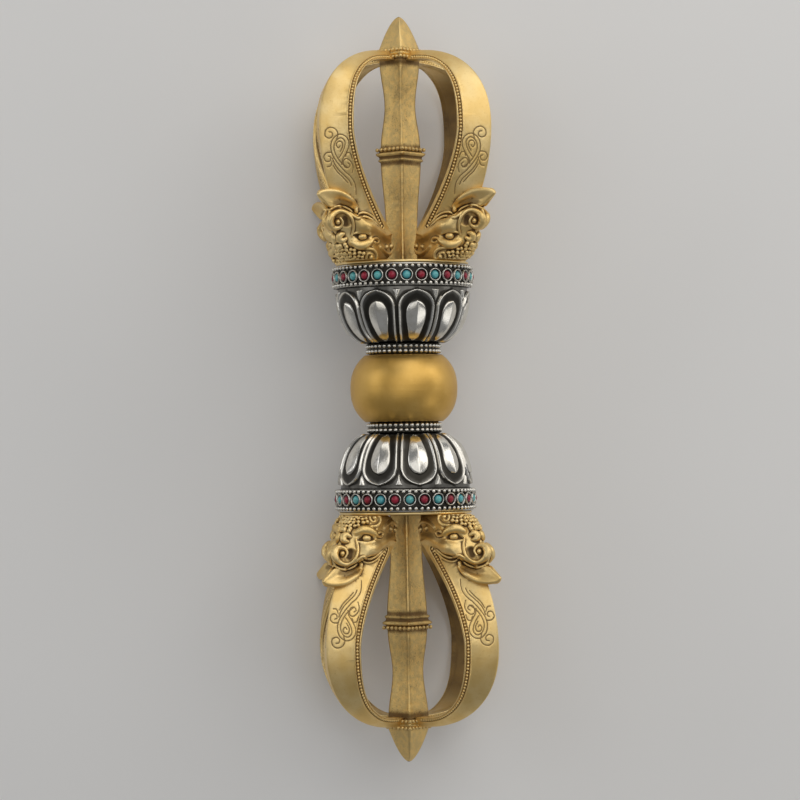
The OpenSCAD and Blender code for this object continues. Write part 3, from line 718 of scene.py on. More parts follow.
class Clay:
    """Modelling clay on a fine grid of radius, side and height, negative inside."""

    def __init__(self, axes, step):
        self.axes, self.step = axes, step
        self.body = np.full([len(a) for a in axes], AWAY, np.float32)

    def window(self, low, high):
        cut = tuple(slice(int(np.searchsorted(a, lo)), int(np.searchsorted(a, hi)))
                    for a, lo, hi in zip(self.axes, low, high))
        return cut, np.ix_(*[a[c] for a, c in zip(self.axes, cut)])

    def roll(self, path, reach):
        """Distance to a rolled string of clay, given as rows of radius, side, height and thickness."""
        path = np.asarray(path, np.float32)
        if len(path) == 1:
            path = np.vstack([path, path + np.float32(1e-4)])
        pad = reach + path[:, 3].max()
        cut, (x, y, z) = self.window(path[:, :3].min(0) - pad, path[:, :3].max(0) + pad)
        near = np.full(np.broadcast(x, y, z).shape, 9.0, np.float32)
        for a, b, s, off in straights(path, x, y, z):
            gap = np.sqrt(sum(side ** 2 for side in off))
            near = np.minimum(near, gap - (a[3] + s * (b[3] - a[3])))
        return cut, near

    def add(self, path, blend):
        cut, near = self.roll(path, blend + 0.5)
        self.body[cut] = soft_min(self.body[cut], near, blend)

    def carve(self, path, blend):
        cut, near = self.roll(path, blend + 0.5)
        self.body[cut] = -soft_min(-self.body[cut], near, blend)

    def sample(self, points):
        at = [np.clip((points[:, k] - a[0]) / self.step, 0, len(a) - 1.001) for k, a in enumerate(self.axes)]
        i = [a.astype(int) for a in at]
        f = [a - b for a, b in zip(at, i)]
        out = 0
        for dx, dy, dz in CORNERS:
            weight = (f[0] if dx else 1 - f[0]) * (f[1] if dy else 1 - f[1]) * (f[2] if dz else 1 - f[2])
            out = out + weight * self.body[i[0] + dx, i[1] + dy, i[2] + dz]
        return out


def soft_min(a, b, blend):
    h = unit(0.5 + 0.5 * (b - a) / blend)
    return b + (a - b) * h - blend * h * (1 - h)


def soft_max(a, b, blend):
    return -soft_min(-a, -b, blend)


def cast_skin(body, axes, step):
    """Surface of a grid of distances as quads, one point in every cell that the surface crosses."""
    inside = body < 0
    n = body.shape
    count = np.zeros([k - 1 for k in n], np.int8)
    for dx, dy, dz in CORNERS:
        count += inside[dx:n[0] - 1 + dx, dy:n[1] - 1 + dy, dz:n[2] - 1 + dz]
    cells = np.argwhere((count > 0) & (count < 8))
    number = np.full(count.shape, -1, np.int32)
    number[tuple(cells.T)] = np.arange(len(cells), dtype=np.int32)
    values = [body[tuple((cells + corner).T)] for corner in CORNERS]
    total, hits = np.zeros((len(cells), 3)), np.zeros(len(cells))
    for a, corner in enumerate(CORNERS):
        for axis, b in enumerate((a | 4, a | 2, a | 1)):
            if a == b:
                continue
            cross = (values[a] < 0) != (values[b] < 0)
            share = np.where(cross, values[a] / np.where(cross, values[a] - values[b], 1), 0)
            spot = np.tile(np.array(corner, float), (len(cells), 1))
            spot[:, axis] += share
            total += spot * cross[:, None]
            hits += cross
    points = (cells + total / hits[:, None]) * step + np.array([a[0] for a in axes])
    faces = []
    for axis in range(3):
        lead, after = [slice(None)] * 3, [slice(None)] * 3
        lead[axis], after[axis] = slice(0, -1), slice(1, None)
        first, second = inside[tuple(lead)], inside[tuple(after)]
        edges = np.argwhere(first != second)
        u, v = [k for k in range(3) if k != axis]
        for k in (u, v):
            edges = edges[(edges[:, k] > 0) & (edges[:, k] < n[k] - 1)]
        quad = []
        for du, dv in ((1, 1), (0, 1), (0, 0), (1, 0)):
            spot = edges.copy()
            spot[:, u] -= du
            spot[:, v] -= dv
            quad.append(number[tuple(spot.T)])
        quad = np.stack(quad, 1)
        back = first[tuple(edges.T)] == (axis == 1)
        quad[back] = quad[back][:, ::-1]
        faces.append(quad)
    return points, np.concatenate(faces)


def blurred(field, reach):
    """Box average over a cube that reaches so many cells each way."""
    out = field.astype(np.float32)
    for axis in range(3):
        pad = [(reach + 1, reach) if k == axis else (0, 0) for k in range(3)]
        total = np.cumsum(np.pad(out, pad, "edge"), axis, dtype=np.float32)
        size = out.shape[axis]
        out = (total.take(range(2 * reach + 1, 2 * reach + 1 + size), axis)
               - total.take(range(0, size), axis)) / (2 * reach + 1)
    return out


def arm_line(u, bulge_r, top, draw_in, draw_power, squareness):
    """Radius and height along an edge of a prong, from the mouth at -1 over the bulge at 0 to its end."""
    drawn = bulge_r - draw_in * bulge_r * np.maximum(-u, 0) ** draw_power
    down = np.stack([drawn, BULGE_H + u * (BULGE_H - MOUTH_H)], -1)
    c, s = np.cos(np.pi / 2 * unit(u)), np.sin(np.pi / 2 * unit(u))
    up = np.stack([ARM_END_R + (bulge_r - ARM_END_R) * np.maximum(c, 0) ** (2 / squareness),
                   BULGE_H + (top - BULGE_H) * s ** (2 / squareness)], -1)
    return np.where(u[:, None] < 0, down, up)


def straights(line, *place):
    """Each straight of a line: its ends, the share along it nearest to points, and how far off they lie."""
    n = len(place)
    for a, b in zip(line[:-1], line[1:]):
        d = b - a
        along = sum((p - start) * go for p, start, go in zip(place, a, d))
        s = unit(along / max(float(d[:n] @ d[:n]), 1e-12))
        yield a, b, s, [p - start - s * go for p, start, go in zip(place, a, d)]


def off_line(line, x, z):
    """Signed distance from a line in the radius-height plane, positive outside, and the run along it."""
    run = run_along(line)
    best = np.full(x.shape, 1e9)
    side, at = np.zeros(x.shape), np.zeros(x.shape)
    for k, (a, b, s, (off_x, off_z)) in enumerate(straights(line, x, z)):
        d = b - a
        gap = off_x ** 2 + off_z ** 2
        closer = gap < best
        best = np.where(closer, gap, best)
        side = np.where(closer, (x - a[0]) * d[1] - (z - a[1]) * d[0], side)
        at = np.where(closer, run[k] + s * math.sqrt(float(d @ d)), at)
    return np.sqrt(best) * np.sign(side), at


# Shape of a head by height above the plate: front, back, half width and how sharp its back is
HEAD_LEVELS = np.array([
    (-1.0, 10.8, 22.0, 5.7, 0.0), (0.0, 10.2, 22.4, 5.9, 0.0), (1.0, 8.0, 24.0, 6.3, 0.1),
    (2.5, 6.3, 25.8, 6.6, 0.25), (4.2, 6.0, 27.4, 6.8, 0.4), (6.0, 6.4, 28.2, 6.9, 0.55),
    (7.5, 7.3, 29.0, 7.0, 0.7), (9.0, 9.0, 30.4, 7.1, 0.9), (10.5, 13.0, 31.8, 7.1, 1.0),
    (12.0, 18.5, 32.4, 7.0, 1.0), (13.5, 23.0, 31.9, 6.8, 1.0), (15.0, 26.5, 31.1, 6.3, 1.0),
    (17.0, 28.5, 31.0, 5.6, 1.0)])

# Ornament of a head: blend, lift, and a line by distance across the cheek, height above the plate, thickness
HEAD_STROKES = {
    "muzzle": (1.4, -0.45, [(5.2, 6.9, 1.1), (7.2, 7.2, 1.4), (9.4, 8.3, 1.5), (11.8, 9.4, 1.4)]),
    "cheek": (1.6, -0.5, [(11.5, 9.6, 1.5), (13.8, 9.6, 1.5)]),
    "brow": (0.5, -0.15, [(10.9, 5.2, 0.55), (12.0, 4.7, 1.05), (13.6, 4.1, 1.35), (15.2, 4.1, 1.2),
        (16.7, 4.8, 0.75)]),
    "nose_roll": (0.35, 0.1, [(3.9, 3.3, 0.42), (4.6, 2.3, 0.52), (5.9, 2.0, 0.55), (7.1, 2.7, 0.5),
        (8.2, 3.8, 0.4)]),
    "nose_ball": (0.1, 0.4, [(4.3, 4.4, 0.84)]),
    "nose_ball_back": (0.1, 0.4, [(5.95, 4.0, 0.66)]),
    "nose_wing": (0.12, 0.4, [(11.2, 5.1, 0.46), (10.4, 5.9, 0.44), (9.3, 6.1, 0.42), (8.7, 5.3, 0.38),
        (9.4, 4.7, 0.33), (10.1, 5.1, 0.3)]),
    "lower_lid": (0.3, 0.0, [(11.5, 7.2, 0.25), (12.9, 7.7, 0.32), (14.8, 7.7, 0.32),
        (16.4, 7.3, 0.25)]),
    "eyeball": (0.1, -0.15, [(13.5, 6.5, 0.92), (14.1, 6.45, 0.92)]),
    "mane_curl": (0.15, 0.4, [(12.8, 3.1, 0.38), (10.7, 2.9, 0.43), (9.5, 1.8, 0.46), (9.5, 0.3, 0.46),
        (10.6, -0.5, 0.43), (12.1, -0.2, 0.40), (12.5, 1.0, 0.38), (11.8, 1.8, 0.32),
        (10.9, 1.5, 0.29)]),
    "mane_pearl": (0.1, 0.3, [(11.1, 0.7, 0.66)]),
    "hook": (0.12, 0.4, [(19.3, 7.3, 0.45), (20.3, 7.0, 0.9), (20.5, 6.0, 1.05), (19.6, 5.4, 0.85),
        (18.6, 5.9, 0.5)]),
    "crown_knob": (0.12, 0.3, [(20.3, 3.9, 0.9)]),
    "ear": (0.15, 0.45, [(16.9, 6.7, 0.30), (16.5, 9.0, 0.40), (17.0, 11.5, 0.45), (18.4, 13.2, 0.50),
        (20.2, 13.8, 0.58), (22.0, 13.1, 0.80), (23.2, 11.8, 1.08), (23.4, 10.4, 1.18), (22.8, 9.3, 1.02),
        (21.4, 8.9, 0.70), (20.1, 9.4, 0.44), (19.6, 10.6, 0.33), (20.3, 11.8, 0.26)]),
    "ear_pearl": (0.15, -0.45, [(21.0, 10.7, 0.78)]),
    "ear_rim": (0.12, 0.5, [(15.3, 12.4, 0.26), (16.0, 13.0, 0.30), (16.8, 13.9, 0.34),
        (17.9, 14.7, 0.36), (19.6, 15.3, 0.38), (21.5, 15.1, 0.38), (23.1, 14.3, 0.36)]),
    "lip": (0.1, 0.5, [(6.9, 8.6, 0.30), (8.0, 9.2, 0.40), (9.3, 10.5, 0.42), (10.8, 11.8, 0.42),
        (12.5, 12.5, 0.42), (14.0, 12.2, 0.40), (15.1, 11.6, 0.37), (16.2, 12.1, 0.36),
        (17.3, 13.0, 0.38), (18.6, 13.5, 0.4)]),
    "under_lip": (0.1, 0.6, [(8.2, 10.3, 0.24), (9.2, 11.4, 0.30), (10.6, 12.7, 0.30), (12.2, 13.5, 0.30),
        (13.6, 13.6, 0.30), (14.6, 13.2, 0.28), (15.0, 12.6, 0.26)]),
    "tusk": (0.1, 0.6, [(15.5, 13.4, 0.40), (15.4, 14.1, 0.62), (15.3, 15.0, 0.42)]),
}
EYE_SOCKET = [(11.5, 6.6, 0.45), (12.5, 6.4, 0.85), (14.1, 6.3, 0.95), (15.5, 6.6, 0.75), (16.3, 7.0, 0.4)]
EAR_DISH = [(18.6, 10.4, 2.0), (19.6, 11.6, 2.0), (21.0, 11.2, 1.9)]

# Beard fin: its edge away from the head and its edge toward the head, from the mouth's corner to the tip
FIN_RIM = [(15.2, 15.2, 0.42), (16.5, 16.8, 0.62), (18.5, 18.2, 0.74), (20.6, 19.1, 0.8), (23.0, 19.4, 0.78),
           (25.2, 19.3, 0.6), (26.4, 18.9, 0.38), (26.7, 18.5, 0.28)]
FIN_ROOT = [(15.6, 14.7, 0.36), (17.6, 15.8, 0.4), (19.6, 16.2, 0.42), (21.6, 15.9, 0.42), (23.2, 15.2, 0.42),
            (24.9, 16.7, 0.46), (26.3, 17.9, 0.36), (26.7, 18.4, 0.28)]
FIN_LIFT = [(0.0, 1.55), (0.2, 1.1), (0.4, 0.5), (0.58, 0.28), (0.78, 0.4), (1.0, 0.2)]
FIN_LEAVES, FIN_TIP, HEAD_MIDDLE = 20.3, 26.9, 12.0

# Strings of mane knobs: how far across each one stands and the height at which it ends
MANE = [(13.6, 2.5), (14.8, 2.6), (16.0, 2.8), (17.2, 3.5), (18.4, 4.4), (19.6, 3.6)]

# Engraved vine on each broad face: distance across and height above the plate
VINE = [
    [(21.3, 34.2), (21.0, 35.9), (21.8, 37.2), (23.3, 37.6), (24.5, 36.7), (24.6, 35.2), (23.5, 34.5),
     (22.5, 35.1), (22.7, 36.1), (23.5, 36.3)],
    [(18.8, 25.0), (20.8, 27.2), (22.4, 29.5), (23.0, 31.9), (22.5, 34.1), (20.9, 35.5), (19.2, 35.3),
     (18.0, 34.0), (17.8, 32.2), (18.6, 30.2), (19.6, 28.4), (19.8, 27.0)],
    [(17.9, 26.0), (20.1, 27.7), (21.6, 29.9), (22.1, 31.9), (21.6, 33.6), (20.5, 34.5), (19.5, 34.3),
     (18.9, 33.2), (19.2, 31.5), (20.0, 29.9), (20.6, 29.0)],
    [(20.3, 30.6), (19.6, 32.2), (19.9, 33.4), (20.9, 33.5), (21.4, 32.6), (20.8, 31.7), (20.3, 32.3)],
    [(16.8, 24.7), (16.5, 26.3), (17.2, 27.9), (18.5, 28.7), (19.4, 27.9), (19.0, 26.4), (18.0, 26.1),
     (17.4, 26.9), (18.1, 27.5)],
    [(16.8, 28.7), (17.4, 30.2), (18.4, 30.3), (18.7, 29.3)],
    [(22.9, 30.5), (24.3, 30.3), (25.0, 29.2), (24.4, 28.0), (23.3, 28.0), (23.0, 29.0), (23.7, 29.4)],
    [(22.6, 27.9), (23.1, 26.6), (24.0, 26.4)],
    [(15.5, 18.6), (15.6, 20.4), (16.1, 22.2), (17.3, 23.8), (18.8, 25.0)],
    [(16.9, 21.2), (17.6, 22.6), (19.1, 24.0), (20.6, 25.4), (21.8, 27.0), (22.5, 28.8)],
    [(18.0, 21.9), (19.5, 23.5), (21.1, 25.0), (22.3, 26.8)]]

# Where brown painted shade lies in a head, in its ear dish and mouth corner, round its nose and under its
# lips, ear rim and fin root: how strong, how far it reaches, and its line
HEAD_PAINTED_SHADE = [
    (0.85, 1.7, [(18.7, 10.2), (19.0, 11.6)]),
    (0.6, 1.2, [(17.2, 15.9), (19.6, 16.5), (21.8, 16.2)]),
    (0.8, 0.5, [(14.9, 12.9), (15.1, 13.3)]),
    (0.4, 2.0, [(5.5, 4.6), (8.0, 4.6)]),
    (0.45, 0.3, [(8.1, 9.8), (9.2, 11.0), (10.7, 12.3), (12.3, 13.0), (13.8, 12.9)]),
    (0.75, 0.35, [(16.2, 12.6), (17.0, 13.5), (18.0, 14.1), (19.7, 14.6), (21.3, 14.3)])]

# The direction from which the strokes are drawn, as parts along the radius and the side
SEEN_R, SEEN_T = 0.663, 0.749

# Where the clay lies, how high a head reaches, the shares of a prong's section and its beaded strip
CLAY_REACH, CLAY_STEP, KEPT_SHARE = ((3.6, 37.2), (0.0, 9.2), (-0.6, 63.6)), 0.15, 0.33
HEAD_TOP, HEAD_REACH = 17.2, 18.5
SIDE_SHARE, FACE_SHARE, CAP_SHARE = 0.13, 0.77, 0.1
STRIP_MIDDLE, STRIP_PITCH, STRIP_BEAD_R = 0.55, 0.92, 0.38
GROOVE_HALF_W, GROOVE_DEPTH, BORDER_AT, BORDER_R = 0.62, 0.15, 0.75, 0.17
KNOB_PITCH, BACK_KNOBS, BACK_KNOB_R, VINE_R = 0.92, 5, 0.62, 0.14


def head_clay(clay):
    """Distance to the bare head, level by level."""
    r, t, h = clay.axes
    out = np.full(clay.body.shape, AWAY, np.float32)
    x, y = np.meshgrid(r, t, indexing="ij")
    levels = HEAD_LEVELS.T
    for k, height in enumerate(h[h <= HEAD_REACH]):
        front, back, wide, sharp = [np.interp(height, levels[0], level) for level in levels[1:]]
        wide = min(wide, (back - front) * 0.45)
        mid = back - wide * 1.05
        bend = np.linspace(0, math.pi / 2, 7)
        round_back = np.stack([mid + (back - mid) * np.cos(bend), wide * np.sin(bend)], -1)
        wedge = np.stack([back - (back - mid) * bend / bend[-1], wide * bend / bend[-1]], -1)
        snout = np.array([[mid - (mid - front) * 0.35, wide * 0.86], [mid - (mid - front) * 0.7, wide * 0.61],
                          [front + 0.7, min(2.3, wide * 0.5)], [front, min(1.3, wide * 0.3)],
                          [front - 0.1, 0.0]])
        edge = np.vstack([wedge * sharp + round_back * (1 - sharp), snout])
        gap, odd = np.full(x.shape, 1e9), np.zeros(x.shape, bool)
        for a, b, _, (off_x, off_y) in straights(edge, x, y):
            gap = np.minimum(gap, off_x ** 2 + off_y ** 2)
            d = b - a
            over = d[0] if abs(d[0]) > 1e-9 else 1e-9
            odd ^= ((a[0] > x) != (b[0] > x)) & (y < a[1] + (x - a[0]) * d[1] / over)
        out[:, :, k] = np.where(odd, -np.sqrt(gap), np.sqrt(gap))
    return np.maximum(blurred(out, 2), (h - HEAD_TOP)[None, None, :])


def arm_clay(clay):
    """Distance to the prong itself, with its beaded strip along the inner edge."""
    r, t, h = clay.axes
    x, z = np.meshgrid(r, h, indexing="ij")
    u = np.linspace(-1, 1, 181)
    inner = arm_line(u, BULGE_R - ARM_DEPTH, ARM_TOP - ARM_END_DEPTH, 0.595, 1.63, 2.55)
    ridge = arm_line(u, BULGE_R, ARM_TOP, 0.283, 2, 2.25)
    deep, run = off_line(inner, x, z)
    over, _ = off_line(ridge, x, z)
    depth = np.maximum(deep - over, 1.2)
    length = run_along(inner)
    wide_at = np.where(u < 0, ARM_HALF_W * (1 - 0.2 * u * u),
                       ARM_HALF_W + (ARM_END_HALF_W - ARM_HALF_W) * (1 - np.cos(np.pi * u)) / 2
                       - ARM_END_TAPER * ease((u - 0.6) / 0.4))
    wide = np.interp(run, length, wide_at)
    deep, depth, wide, run = [a[:, None, :] for a in (deep, depth, wide, run)]
    y = t[None, :, None]

    # Two broad faces, a narrow cap along the ridge, the inner face and the sides
    k = np.minimum(RIDGE_HALF_W, wide * 0.3)
    rise, fall = depth * FACE_SHARE, wide - k
    long = np.hypot(rise, fall)
    broad = ((deep - SIDE_SHARE * depth) * fall + (y - wide) * rise) / long
    cap = (deep - 0.9 * depth) * k + (y - k) * CAP_SHARE * depth
    body = soft_max(broad, cap / np.hypot(k, CAP_SHARE * depth), 0.5)
    body = soft_max(body, -deep, 0.25)
    body = soft_max(body, y - wide, 0.3)

    # The strip: a groove between two raised lines, with beads in it
    q = ((deep - SIDE_SHARE * depth) * rise - (y - wide) * fall) / long
    strip = ease((length[-1] - 1.2 - run) / 0.8) * ease(run / 0.5)
    middle = np.hypot(np.maximum(STRIP_START - run, 0), q - STRIP_MIDDLE)
    body = np.where(middle < GROOVE_HALF_W, body + GROOVE_DEPTH * strip, body)
    border = np.hypot(middle - BORDER_AT, broad) - BORDER_R * strip + 0.4 * (1 - strip)
    body = soft_min(body, border, 0.06)
    beat = (run / STRIP_PITCH - np.floor(run / STRIP_PITCH) - 0.5) * STRIP_PITCH
    strip = strip * (run > STRIP_START - 0.1)
    bead = np.sqrt(beat ** 2 + (q - STRIP_MIDDLE) ** 2 + (broad + 0.1) ** 2)
    body = soft_min(body, bead - STRIP_BEAD_R * strip + 0.6 * (1 - strip), 0.05)
    ends = np.maximum(ARM_END_R - r[:, None, None], MOUTH_H - MOUTH_TUCK - h[None, None, :])
    return np.maximum(body, ends).astype(np.float32)


def onto_skin(clay, strokes, lift):
    """Lays strokes on the clay as seen square-on to a cheek; past its edge they stay on the edge."""
    out = []
    depth = np.arange(34.0, -8.0, -0.06)
    for across, height, thick in strokes:
        for step in np.arange(0.0, 6.0, 0.15):
            reach = across + step if across < HEAD_MIDDLE else across - step
            ray = np.stack([SEEN_T * reach + SEEN_R * depth, SEEN_T * depth - SEEN_R * reach,
                            0 * depth + height], 1)
            ray = ray[(ray[:, 1] >= 0) & (ray[:, 0] > clay.axes[0][0]) & (ray[:, 0] < clay.axes[0][-1])]
            inside = clay.sample(ray) < 0
            if inside.any():
                break
        spot = ray[int(np.argmax(inside))] + np.array([SEEN_R, SEEN_T, 0]) * thick * lift
        out.append((*spot, thick))
    return out


def fin_clay(clay, bare):
    """The beard fin, a fluted leaf that lifts off the prong and narrows to a tip on the ridge."""
    rim, root = spline(FIN_RIM, 4), spline(FIN_ROOT, 4)
    shares, lifts = np.array(FIN_LIFT).T
    for share in np.linspace(0, 1, 13):
        line = rim * (1 - share) + root * share
        rib = np.array(onto_skin(bare, line, 0.0))
        rise = np.interp(share, shares, lifts) * ease(np.linspace(0, 1, len(line)) / 0.22)
        rib[:, 0] += SEEN_R * rise
        rib[:, 1] += SEEN_T * rise
        last = int(np.searchsorted(line[:, 0], FIN_LEAVES))
        free = line[last:, 0]
        side = rib[last, 1] * unit((FIN_TIP - free) / (FIN_TIP - free[0]))
        rib[last:, 1] = side
        rib[last:, 0] = (free + SEEN_R * side) / SEEN_T
        clay.add(rib, 0.3)


def line_gap(across, height, line):
    """Distance from points seen square-on to a cheek to a line drawn there."""
    return np.min([np.hypot(*off) for *_, off in straights(line, across, height)], 0)


def one_shell(points, faces):
    """The largest connected skin, without stray bits."""
    label = np.arange(len(points))
    while True:
        lower = label.copy()
        np.minimum.at(lower, faces.ravel(), np.repeat(label[faces].min(1), faces.shape[1]))
        lower = lower[lower]
        if (lower == label).all():
            break
        label = lower
    shell = label[faces[:, 0]]
    kept = faces[shell == np.bincount(shell).argmax()]
    used, numbers = np.unique(kept, return_inverse=True)
    return points[used], numbers.reshape(kept.shape)


def thinned(points, faces, share):
    """The same skin in fewer triangles, larger where it is smooth."""
    holder = put("thinning", skin("thinning", points, faces))
    holder.modifiers.new("thin", "DECIMATE").ratio = share
    mesh = made_plain(holder)
    mesh.calc_loop_triangles()
    few = np.empty((len(mesh.vertices), 3), np.float32)
    mesh.vertices.foreach_get("co", few.ravel())
    triangles = np.empty((len(mesh.loop_triangles), 3), np.int32)
    mesh.loop_triangles.foreach_get("vertices", triangles.ravel())
    bpy.data.meshes.remove(mesh)
    return few, triangles


def ornament(clay):
    """Lays fin, strokes, mane and back knobs on a bare prong and cuts its hollows and its vine."""
    bare = Clay(clay.axes, clay.step)
    bare.body = clay.body.copy()
    clay.carve(onto_skin(bare, spline(EYE_SOCKET, 6), 0.35), 0.35)
    clay.carve(onto_skin(bare, spline(EAR_DISH, 6), 0.5), 0.3)
    fin_clay(clay, bare)
    for blend, lift, knots in HEAD_STROKES.values():
        line = spline(knots, 5) if len(knots) > 1 else np.array(knots)
        clay.add(onto_skin(bare, line, lift), blend)
    for n, (across, top) in enumerate(MANE):
        for m, height in enumerate(np.arange(-0.1 + 0.2 * (n % 2), top, KNOB_PITCH)):
            knob = [(across + 0.18 * math.sin(2.1 * m + 1.1 * n), height, 0.52 if m % 2 else 0.6)]
            clay.add(onto_skin(bare, knob, 0.95), 0.12)
    for n in range(BACK_KNOBS):
        height = 0.5 + 1.25 * n
        back = np.interp(height, HEAD_LEVELS[:, 0], HEAD_LEVELS[:, 2])
        for side in (0.0, 1.35):
            clay.add([(back - 0.1 - side * 0.25, side + 0.6 * (n % 2), height, BACK_KNOB_R)], 0.1)
    for knots in VINE:
        line = np.array([(x, y, VINE_R) for x, y in spline(knots, 6)])
        clay.carve(onto_skin(bare, line, 0.2), 0.1)


def wear_and_shade_marks(cast, points):
    """Hollow and crest marks, by how much metal lies close around each point and where it faces; the hollow
    mark is partly patina and partly painted shade.
    """
    solid = unit(0.5 - cast.body / cast.step)
    probe = Clay(cast.axes, cast.step)
    probe.body = blurred(blurred(solid, 2), 2)
    tight = probe.sample(points) - 0.5
    out = np.stack([probe.sample(points - nudge) - probe.sample(points + nudge)
                    for nudge in np.eye(3) * 0.3], 1)
    out = out / np.maximum(np.linalg.norm(out, axis=1, keepdims=True), 1e-6)
    probe.body = blurred(blurred(solid, 6), 6)
    broad = probe.sample(points) - 0.5
    # Patina and painted shade where metal crowds close round a point
    hollow = unit((tight - 0.012) * 8.5) * 0.8 + unit((broad - 0.05) * 3.6) * 0.5
    crest = unit(-tight * 3.6 - 0.15)
    # Painted shade on faces turned in toward the axis, fading in from 10 to 16 mm above the plate
    inward = unit(-out[:, 0] * 2.0 - 0.6) * ease((points[:, 2] - 10.0) / 6.0)
    hollow = np.maximum(hollow, inward * 0.72)
    seen = ease((out[:, 0] * SEEN_R + np.abs(out[:, 1]) * SEEN_T - 0.3) / 0.3)
    across = SEEN_T * points[:, 0] - SEEN_R * np.abs(points[:, 1])
    for knots in VINE:
        gap = line_gap(across, points[:, 2], spline(knots, 6))
        hollow = np.maximum(hollow, ease((0.28 - gap) / 0.2) * seen * 0.72)
    # Painted shade in the head's dish and pits and under its rims
    for strength, reach, knots in HEAD_PAINTED_SHADE:
        gap = line_gap(across, points[:, 2], np.array(knots))
        hollow = np.maximum(hollow, ease((reach - gap) / (0.7 * reach)) * seen * strength * (1 - crest))
    return {"hollow": hollow, "crest": crest}


def curved_prong_form(step=CLAY_STEP):
    """One curved prong as points, triangles and marks of wear, patina and painted shade, standing along the
    radius.
    """
    clay = Clay([np.arange(a + step / 2, b, step, dtype=np.float32) for a, b in CLAY_REACH], step)
    clay.body = soft_min(head_clay(clay), arm_clay(clay), 0.35)
    ornament(clay)
    r, t, h = clay.axes
    half = np.maximum(clay.body, (0.02 - h)[None, None, :])
    cast = Clay([r, np.concatenate([-t[::-1], t]), h], step)
    cast.body = np.concatenate([half[:, ::-1], half], 1)
    points, faces = thinned(*one_shell(*cast_skin(cast.body, cast.axes, step)), KEPT_SHARE)
    return points, faces, wear_and_shade_marks(cast, points)


# Setting everything in place

set_piece("hub_ball", hub_mesh(), "upper", HUB_GILT, "gilt_metal", "hub")
prong_points, prong_faces, prong_marks = curved_prong_form()
for end in ENDS:
    collar_rows = [HUB_FLAT + COLLAR_H * 0.3, HUB_FLAT + COLLAR_H * 0.72]
    band_rows = [BAND_Z + BAND_BEAD_R + 0.1, RIM_Z - BAND_BEAD_R - 0.4]
    collar_beads = granule_rows("collar_granules", COLLAR_BEADS, COLLAR_R - COLLAR_BEAD_R, COLLAR_BEAD_R,
                                collar_rows, COLLAR_SILVER)
    band_beads = granule_rows("band_granules", BAND_BEADS, BAND_R + 0.25, BAND_BEAD_R, band_rows, BAND_SILVER)
    for piece, mesh, finish, slot, node in (
            ("collar_ring", collar_mesh(), BLACK_SILVER, "oxidised_silver", "collar"),
            ("collar_beads", collar_beads, COLLAR_SILVER, "oxidised_silver", "collar_granules"),
            ("lotus", lotus_cup_mesh(), BLACK_SILVER, "oxidised_silver", "lotus_cup"),
            ("band", band_mesh(), BLACK_SILVER, "oxidised_silver", "stone_band"),
            ("band_beads", band_beads, BAND_SILVER, "oxidised_silver", "band_granules"),
            ("bezel_rings", bezel_ring("bezels", BEZEL_SILVER), BEZEL_SILVER, "oxidised_silver", "bezels"),
            ("turquoise", cabochons("turquoise", 0, TURQUOISE), TURQUOISE, "turquoise", "turquoise_stones"),
            ("coral", cabochons("coral", 1, CORAL), CORAL, "coral", "coral_stones"),
            ("plate", plate_mesh(), GILT, "gilt_metal", "prong_plate"),
            ("straight_prong", straight_prong_mesh(), ANTIQUE, "gilt_metal", "center_prong")):
        set_piece(f"{end}_{piece}", mesh, end, finish, slot, f"{end}_{node}")
    meet = PLATE_Z + POINT_H - TIP_H - MEET_H
    rows = [(4.85, PLATE_Z + RING_AT + 1.35), (4.4, meet + 0.6), (4.4, meet + 2.6)]
    mesh = square_rows("straight_prong_beads", rows, PRONG_BEAD_R, PRONG_BEAD_PITCH, ANTIQUE)
    mesh.transform(Matrix.Rotation(math.pi / 4, 4, "Z"))
    bright = mesh.attributes.new("crest", "FLOAT", "POINT")
    bright.data.foreach_set("value", np.full(len(mesh.vertices), PRONG_BEAD_SHINE, np.float32))
    set_piece(f"{end}_straight_prong_beads", mesh, end, ANTIQUE, "gilt_metal")
    x, y, z = prong_points.T
    for k in range(1, 5):
        a = math.radians(k * 90 - 45)
        c, s = math.cos(a), math.sin(a)
        points = np.stack([x * c - y * s, x * s + y * c, z + PLATE_Z], 1)
        mesh = skin("curved_prong", points, prong_faces, prong_marks)
        set_piece(f"{end}_makara_prong_{k}", mesh, end, GILT, "gilt_metal", f"{end}_curved_prong_{k}")
for hidden in ("tie_rod", "upper_nut", "lower_nut"):
    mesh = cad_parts[hidden].data
    mesh.materials.clear()
    mesh.materials.append(STEEL)


# Floor, light and camera

floor_mesh = bpy.data.meshes.new("floor")
floor_z = cad_box[0][2] - 0.0002
floor_corners = [(x, y, floor_z) for x, y in ((-3, -3), (3, -3), (3, 3), (-3, 3))]
floor_mesh.from_pydata(floor_corners, [], [(0, 1, 2, 3)])
floor_mesh.materials.append(pale_floor())
floor = put("floor", floor_mesh)

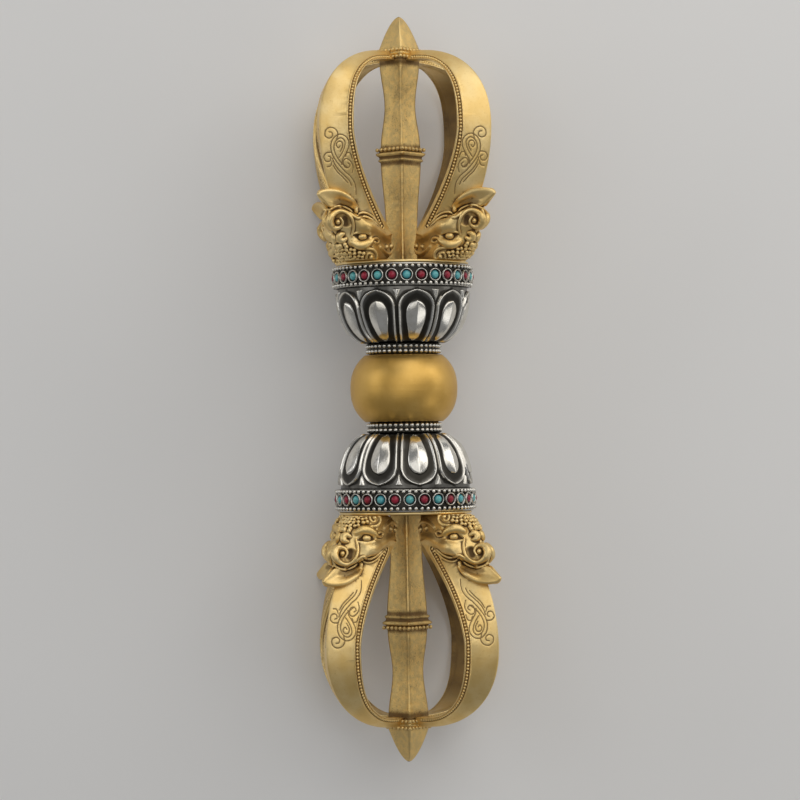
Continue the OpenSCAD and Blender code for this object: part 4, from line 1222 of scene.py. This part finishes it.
scene.view_settings.view_transform = "Standard"
world = bpy.data.worlds.new("studio")
scene.world = world
world.use_nodes = True
world.node_tree.nodes["Background"].inputs["Color"].default_value = (0.23, 0.235, 0.245, 1.0)
world.node_tree.nodes["Background"].inputs["Strength"].default_value = 1.0


def softbox(name, place, target, size, power, colour):
    lamp = bpy.data.lights.new(name, "AREA")
    lamp.shape, lamp.size, lamp.size_y = "RECTANGLE", *size
    lamp.energy, lamp.color = power, colour
    box = put(name, lamp)
    box.location = place
    box.rotation_mode = "QUATERNION"
    box.rotation_quaternion = (Vector(target) - Vector(place)).to_track_quat("-Z", "Y")


softbox("key_softbox", (0.62, -0.42, 0.68), (0.03, 0, 0), (0.95, 0.95), 2.9, (1.0, 0.97, 0.93))
softbox("overhead_softbox", (0.24, 0.12, 1.15), (0, 0, 0), (1.1, 0.9), 2.4, (1.0, 0.99, 0.97))
softbox("right_softbox", (0.42, -0.90, 0.27), (0.05, 0, 0), (0.75, 0.42), 1.5, (1.0, 0.98, 0.95))
softbox("far_softbox", (1.00, -0.05, 0.34), (0.08, 0, 0), (0.8, 0.48), 1.3, (1.0, 0.98, 0.95))
softbox("left_softbox", (0.30, 0.88, 0.36), (0.03, 0, 0), (0.7, 0.45), 1.3, (0.97, 0.98, 1.0))
softbox("near_softbox", (-0.42, -0.78, 0.40), (0, 0, 0), (0.45, 0.36), 0.5, (1.0, 0.99, 0.97))

lens = bpy.data.cameras.new("camera")
lens.sensor_width, lens.lens = 36.0, 132.3
camera = put("camera", lens)
eye, aim = Vector((-0.0187, 0.053, 0.8664)), Vector((-0.0034, 0.0012, 0.0))
look = (aim - eye).normalized()
right = look.cross(Vector((1, 0, 0))).normalized()
up = right.cross(look)
lean = math.radians(0.81)
up = up * math.cos(lean) + right * math.sin(lean)
right = look.cross(up)
camera.matrix_world = Matrix(((right.x, up.x, -look.x, eye.x), (right.y, up.y, -look.y, eye.y),
                              (right.z, up.z, -look.z, eye.z), (0, 0, 0, 1)))
scene.camera = camera
